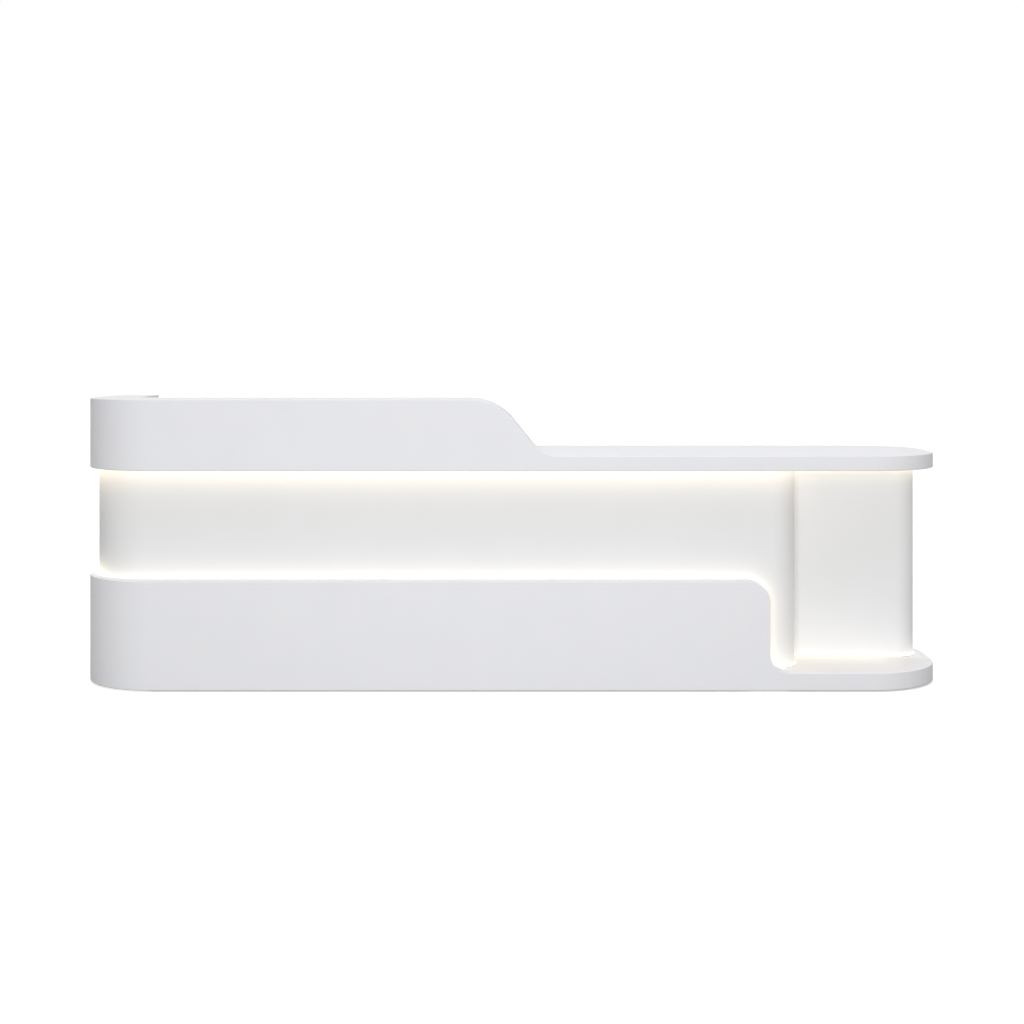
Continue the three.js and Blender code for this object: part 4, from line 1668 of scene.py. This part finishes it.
@dataclass
class Cupboard(SubAssembly):
    """Cupboard door with its pull and hinges, and the light lines' driver.

    Attributes:
        front_edge: reach of the rounding along the door.
        pull_edge: reach of the rounding along the pull.
        hinge_edge: reach of the rounding along the hinges.
        driver_edge: reach of the rounding along the driver.
        driver_foot: how far the driver's feet stand out at its ends.
        foot_sheet: thickness of those feet.
        cover_margin: width of the driver's frame round its cover.
        cover_depth: how far the cover lies behind the frame.
        vent_cuts: cuts that divide the cover each way.
        vent_pitch: width of a vent, and of the bar between two vents.
        vent_margin: distance of the outer vents from the driver's ends.
        vent_half: half the height of a vent.
        vent_depth: depth of a vent.
        screw: the screws of the driver's feet.
    """

    front_edge: float = 0.0015
    pull_edge: float = 0.0025
    hinge_edge: float = 0.0004
    driver_edge: float = 0.0004
    driver_foot: float = 0.014
    foot_sheet: float = 0.003
    cover_margin: float = 0.005
    cover_depth: float = 0.0012
    vent_cuts: int = 29
    vent_pitch: float = 0.005
    vent_margin: float = 0.020
    vent_half: float = 0.012
    vent_depth: float = 0.004
    screw: Screw = Screw(radius=0.0038, drive=0.0016)

    def build(self) -> list[Piece]:
        """Finish the door, its hinges and the driver.

        Returns:
            The door's pieces, the fixed hinge leaves and the driver.
        """
        pieces = [
            self.rounded("door", self.front_edge, WHITE_LACQUER, Slot.LACQUER, Body.DOOR),
            self.rounded("door_pull", self.pull_edge, STEEL, Slot.STEEL, Body.DOOR),
            *self.driver(),
        ]
        for place in ("lower", "upper"):
            pieces.append(self.rounded(f"hinge_{place}_base", self.hinge_edge, STEEL, Slot.STEEL))
            pieces.append(self.rounded(f"hinge_{place}_leaf", self.hinge_edge, STEEL, Slot.STEEL, Body.DOOR))
        return pieces

    def driver(self) -> list[Piece]:
        """Model the vented cover of the light lines' driver and set its two screws.

        Returns:
            The driver and the screws.
        """
        low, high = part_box("led_driver")
        copy = Bench.copy_of("led_driver")
        middle = (low + high) / 2.0
        half = (high.x - low.x) / 2.0 - self.driver_foot

        def on_cover(centre: Vector, normal: Vector) -> bool:
            """Say whether a face belongs to the cover."""
            return normal.y > Bench.facing and centre.y > high.y - 2.0 * self.cover_depth

        def in_field(off: Vector) -> bool:
            """Say whether a face lies in the field of vents, by its centre's distance from the middle."""
            return abs(off.x) < half - self.vent_margin and abs(off.z) < self.vent_half

        def on_vent(centre: Vector, normal: Vector) -> bool:
            """Say whether a face of the cut-up cover is part of a vent."""
            column = math.floor((centre.x - low.x) / self.vent_pitch)
            return on_cover(centre, normal) and in_field(centre - middle) and column % 2 == 0

        with Bench.editing(copy, "FACE"):
            Bench.pick_faces(copy, on_cover)
            Bench.sink(self.cover_margin, (0.0, -self.cover_depth, 0.0))
            bpy.ops.mesh.subdivide(number_cuts=self.vent_cuts)
        with Bench.editing(copy, "FACE"):
            Bench.pick_faces(copy, on_vent)
            inward = (0.0, -self.vent_depth, 0.0)
            bpy.ops.mesh.extrude_region_move(TRANSFORM_OT_translate={"value": inward})
        Bench.round_edges(copy, self.driver_edge, 2)
        Bench.smooth(copy)
        pieces = [Piece(copy, (ALUMINIUM,), Slot.ALUMINIUM, nodes=("led_driver",))]
        reach = half + self.driver_foot / 2.0
        for number, off in enumerate((-reach, reach), 1):
            place = (middle.x + off, low.y + self.foot_sheet, middle.z)
            screw = Bench.place_copy(self.screw.mesh(), f"led_driver_screw_{number}", place, Axis.STAFF)
            pieces.append(Piece(screw, (STEEL,), Slot.STEEL))
        return pieces


@dataclass(frozen=True)
class Lamp:
    """One studio light.

    Attributes:
        name: the lamp's name.
        heading: direction in which it shines.
    """

    name: str
    heading: Point

    def hang(self, lamp: bpy.types.Light, place: Point) -> None:
        """Add the lamp, kept out of the picture and out of reflections.

        Args:
            lamp: the lamp's data.
            place: where it is.
        """
        holder = bpy.data.objects.new(self.name, lamp)
        holder.visible_camera = False
        holder.visible_glossy = False
        holder.location = place
        holder.rotation_mode = "QUATERNION"
        holder.rotation_quaternion = Vector(self.heading).to_track_quat("-Z", "Y")
        bpy.context.scene.collection.objects.link(holder)


@dataclass(frozen=True)
class Softbox(Lamp):
    """Studio light of a real size.

    Attributes:
        middle: where its middle is.
        size: its width and height.
        power: its power in watts.
    """

    middle: Point
    size: tuple[float, float]
    power: float

    def place(self) -> None:
        """Add the lamp."""
        lamp = bpy.data.lights.new(self.name, "AREA")
        lamp.shape = "RECTANGLE"
        lamp.size, lamp.size_y = self.size
        lamp.energy = self.power
        self.hang(lamp, self.middle)


@dataclass(frozen=True)
class Sun(Lamp):
    """Studio light that shines the same way everywhere.

    Attributes:
        strength: its brightness.
        softness: its width as seen from the desk, in degrees.
    """

    strength: float
    softness: float

    def place(self) -> None:
        """Add the lamp."""
        lamp = bpy.data.lights.new(self.name, "SUN")
        lamp.energy = self.strength
        lamp.angle = math.radians(self.softness)
        self.hang(lamp, (0.0, 0.0, 0.0))


@dataclass
class Studio:
    """Pale floor, soft light and the camera.

    Attributes:
        camera_place: where the camera stands, level and square to the desk's front.
        lens: focal length in millimetres.
        sensor: width of the sensor in millimetres.
        shift_up: how far the frame is shifted up, as a share of its width.
        shift_right: how far it is shifted to the right, as the same share.
        floor_reach: half the floor's width.
        floor_white: light that the floor sends to the camera by itself.
        floor_shown: colour of the floor as the camera sees it, which keeps the shadow.
        floor_bounce: colour of the floor as it lights the desk.
        ambient: light from all round.
        lamps: the lamps.
    """

    camera_place: Point = (0.0, -5.61084, 1.16146)
    lens: float = 54.68
    sensor: float = 36.0
    shift_up: float = -0.15616
    shift_right: float = 0.0004
    floor_reach: float = 60.0
    floor_white: float = 0.50
    floor_shown: Colour = (0.70, 0.70, 0.70)
    floor_bounce: Colour = (0.30, 0.30, 0.30)
    ambient: float = 0.48
    lamps: tuple[Softbox | Sun, ...] = (
        Softbox("front_light", (0.0, 1.0, -0.1), middle=(0.0, -6.0, 1.2), size=(2.0, 1.2), power=173.0),
        Sun("top_light", (0.0, 0.10, -1.0), strength=1.2, softness=60.0),
        Sun("back_light", (0.0, -1.0, -0.18), strength=1.4, softness=40.0),
    )

    def build(self) -> None:
        """Add floor, world, lamps and camera."""
        scene = bpy.context.scene
        scene.view_settings.view_transform = "Standard"
        self.lay_floor()
        self.light_world(scene)
        for lamp in self.lamps:
            lamp.place()
        self.set_camera(scene)

    @staticmethod
    def seen(tree: Tree) -> bpy.types.NodeSocket:
        """Tell rays that show the background, to the camera or off gloss, from rays that carry light.

        Args:
            tree: the tree of the floor or the world.

        Returns:
            1 for the first kind and 0 for the second.
        """
        path = tree.add("ShaderNodeLightPath").outputs
        shiny = tree.maths("MAXIMUM", path["Is Glossy Ray"], path["Is Transmission Ray"])
        return tree.maths("MAXIMUM", path["Is Camera Ray"], shiny)

    def lay_floor(self) -> None:
        """Add the floor, which shows white and keeps the desk's shadow."""
        bpy.ops.object.select_all(action="DESELECT")
        bpy.ops.mesh.primitive_plane_add(size=2.0 * self.floor_reach)
        floor = bpy.context.active_object
        floor.name = "studio_floor"
        material = bpy.data.materials.new("studio_floor")
        material.use_nodes = True
        tree = Tree(material.node_tree)
        tree.tree.nodes.clear()
        bounce = tree.add("ShaderNodeBsdfDiffuse", {"Color": self.floor_bounce})
        shown = tree.add("ShaderNodeBsdfDiffuse", {"Color": self.floor_shown})
        white = tree.add("ShaderNodeEmission", {"Strength": self.floor_white})
        both = tree.add("ShaderNodeAddShader", {0: shown.outputs[0], 1: white.outputs[0]})
        mix = tree.add("ShaderNodeMixShader", {0: self.seen(tree), 1: bounce.outputs[0], 2: both.outputs[0]})
        tree.add("ShaderNodeOutputMaterial", {"Surface": mix.outputs[0]})
        floor.data.materials.append(material)

    def light_world(self, scene: bpy.types.Scene) -> None:
        """Set the world: white where it is seen, and a plain soft level where it lights.

        Args:
            scene: the scene.
        """
        world = bpy.data.worlds.new("studio_world")
        world.use_nodes = True
        tree = Tree(world.node_tree)
        tree.tree.nodes.clear()
        soft = tree.add("ShaderNodeBackground", {"Color": WHITE, "Strength": self.ambient})
        white = tree.add("ShaderNodeBackground", {"Color": WHITE, "Strength": 1.0})
        mix = tree.add("ShaderNodeMixShader", {0: self.seen(tree), 1: soft.outputs[0], 2: white.outputs[0]})
        tree.add("ShaderNodeOutputWorld", {"Surface": mix.outputs[0]})
        scene.world = world

    def set_camera(self, scene: bpy.types.Scene) -> None:
        """Add the camera, level and square to the front.

        Args:
            scene: the scene.
        """
        camera = bpy.data.cameras.new("photo_camera")
        camera.lens = self.lens
        camera.sensor_width = self.sensor
        camera.shift_x = self.shift_right
        camera.shift_y = self.shift_up
        holder = bpy.data.objects.new("photo_camera", camera)
        holder.location = self.camera_place
        holder.rotation_euler = (math.radians(90.0), 0.0, 0.0)
        scene.collection.objects.link(holder)
        scene.camera = holder


def main() -> None:
    """Build the studio, then each sub-assembly of the desk, and report every piece."""
    logging.basicConfig(level=logging.INFO, format="%(message)s")
    Studio().build()
    drawers = [Drawer(number) for number in range(1, DRAWER_COUNT + 1)]
    parts = [UpperCounter(), MiddlePanel(), Plinth(), Pedestal(), LightLines(), StaffSide(), Storage()]
    for part in (*parts, *drawers, Cupboard()):
        LOG.info("building %s", type(part).__name__)
        part.dress()


if __name__ == "__main__":
    main()
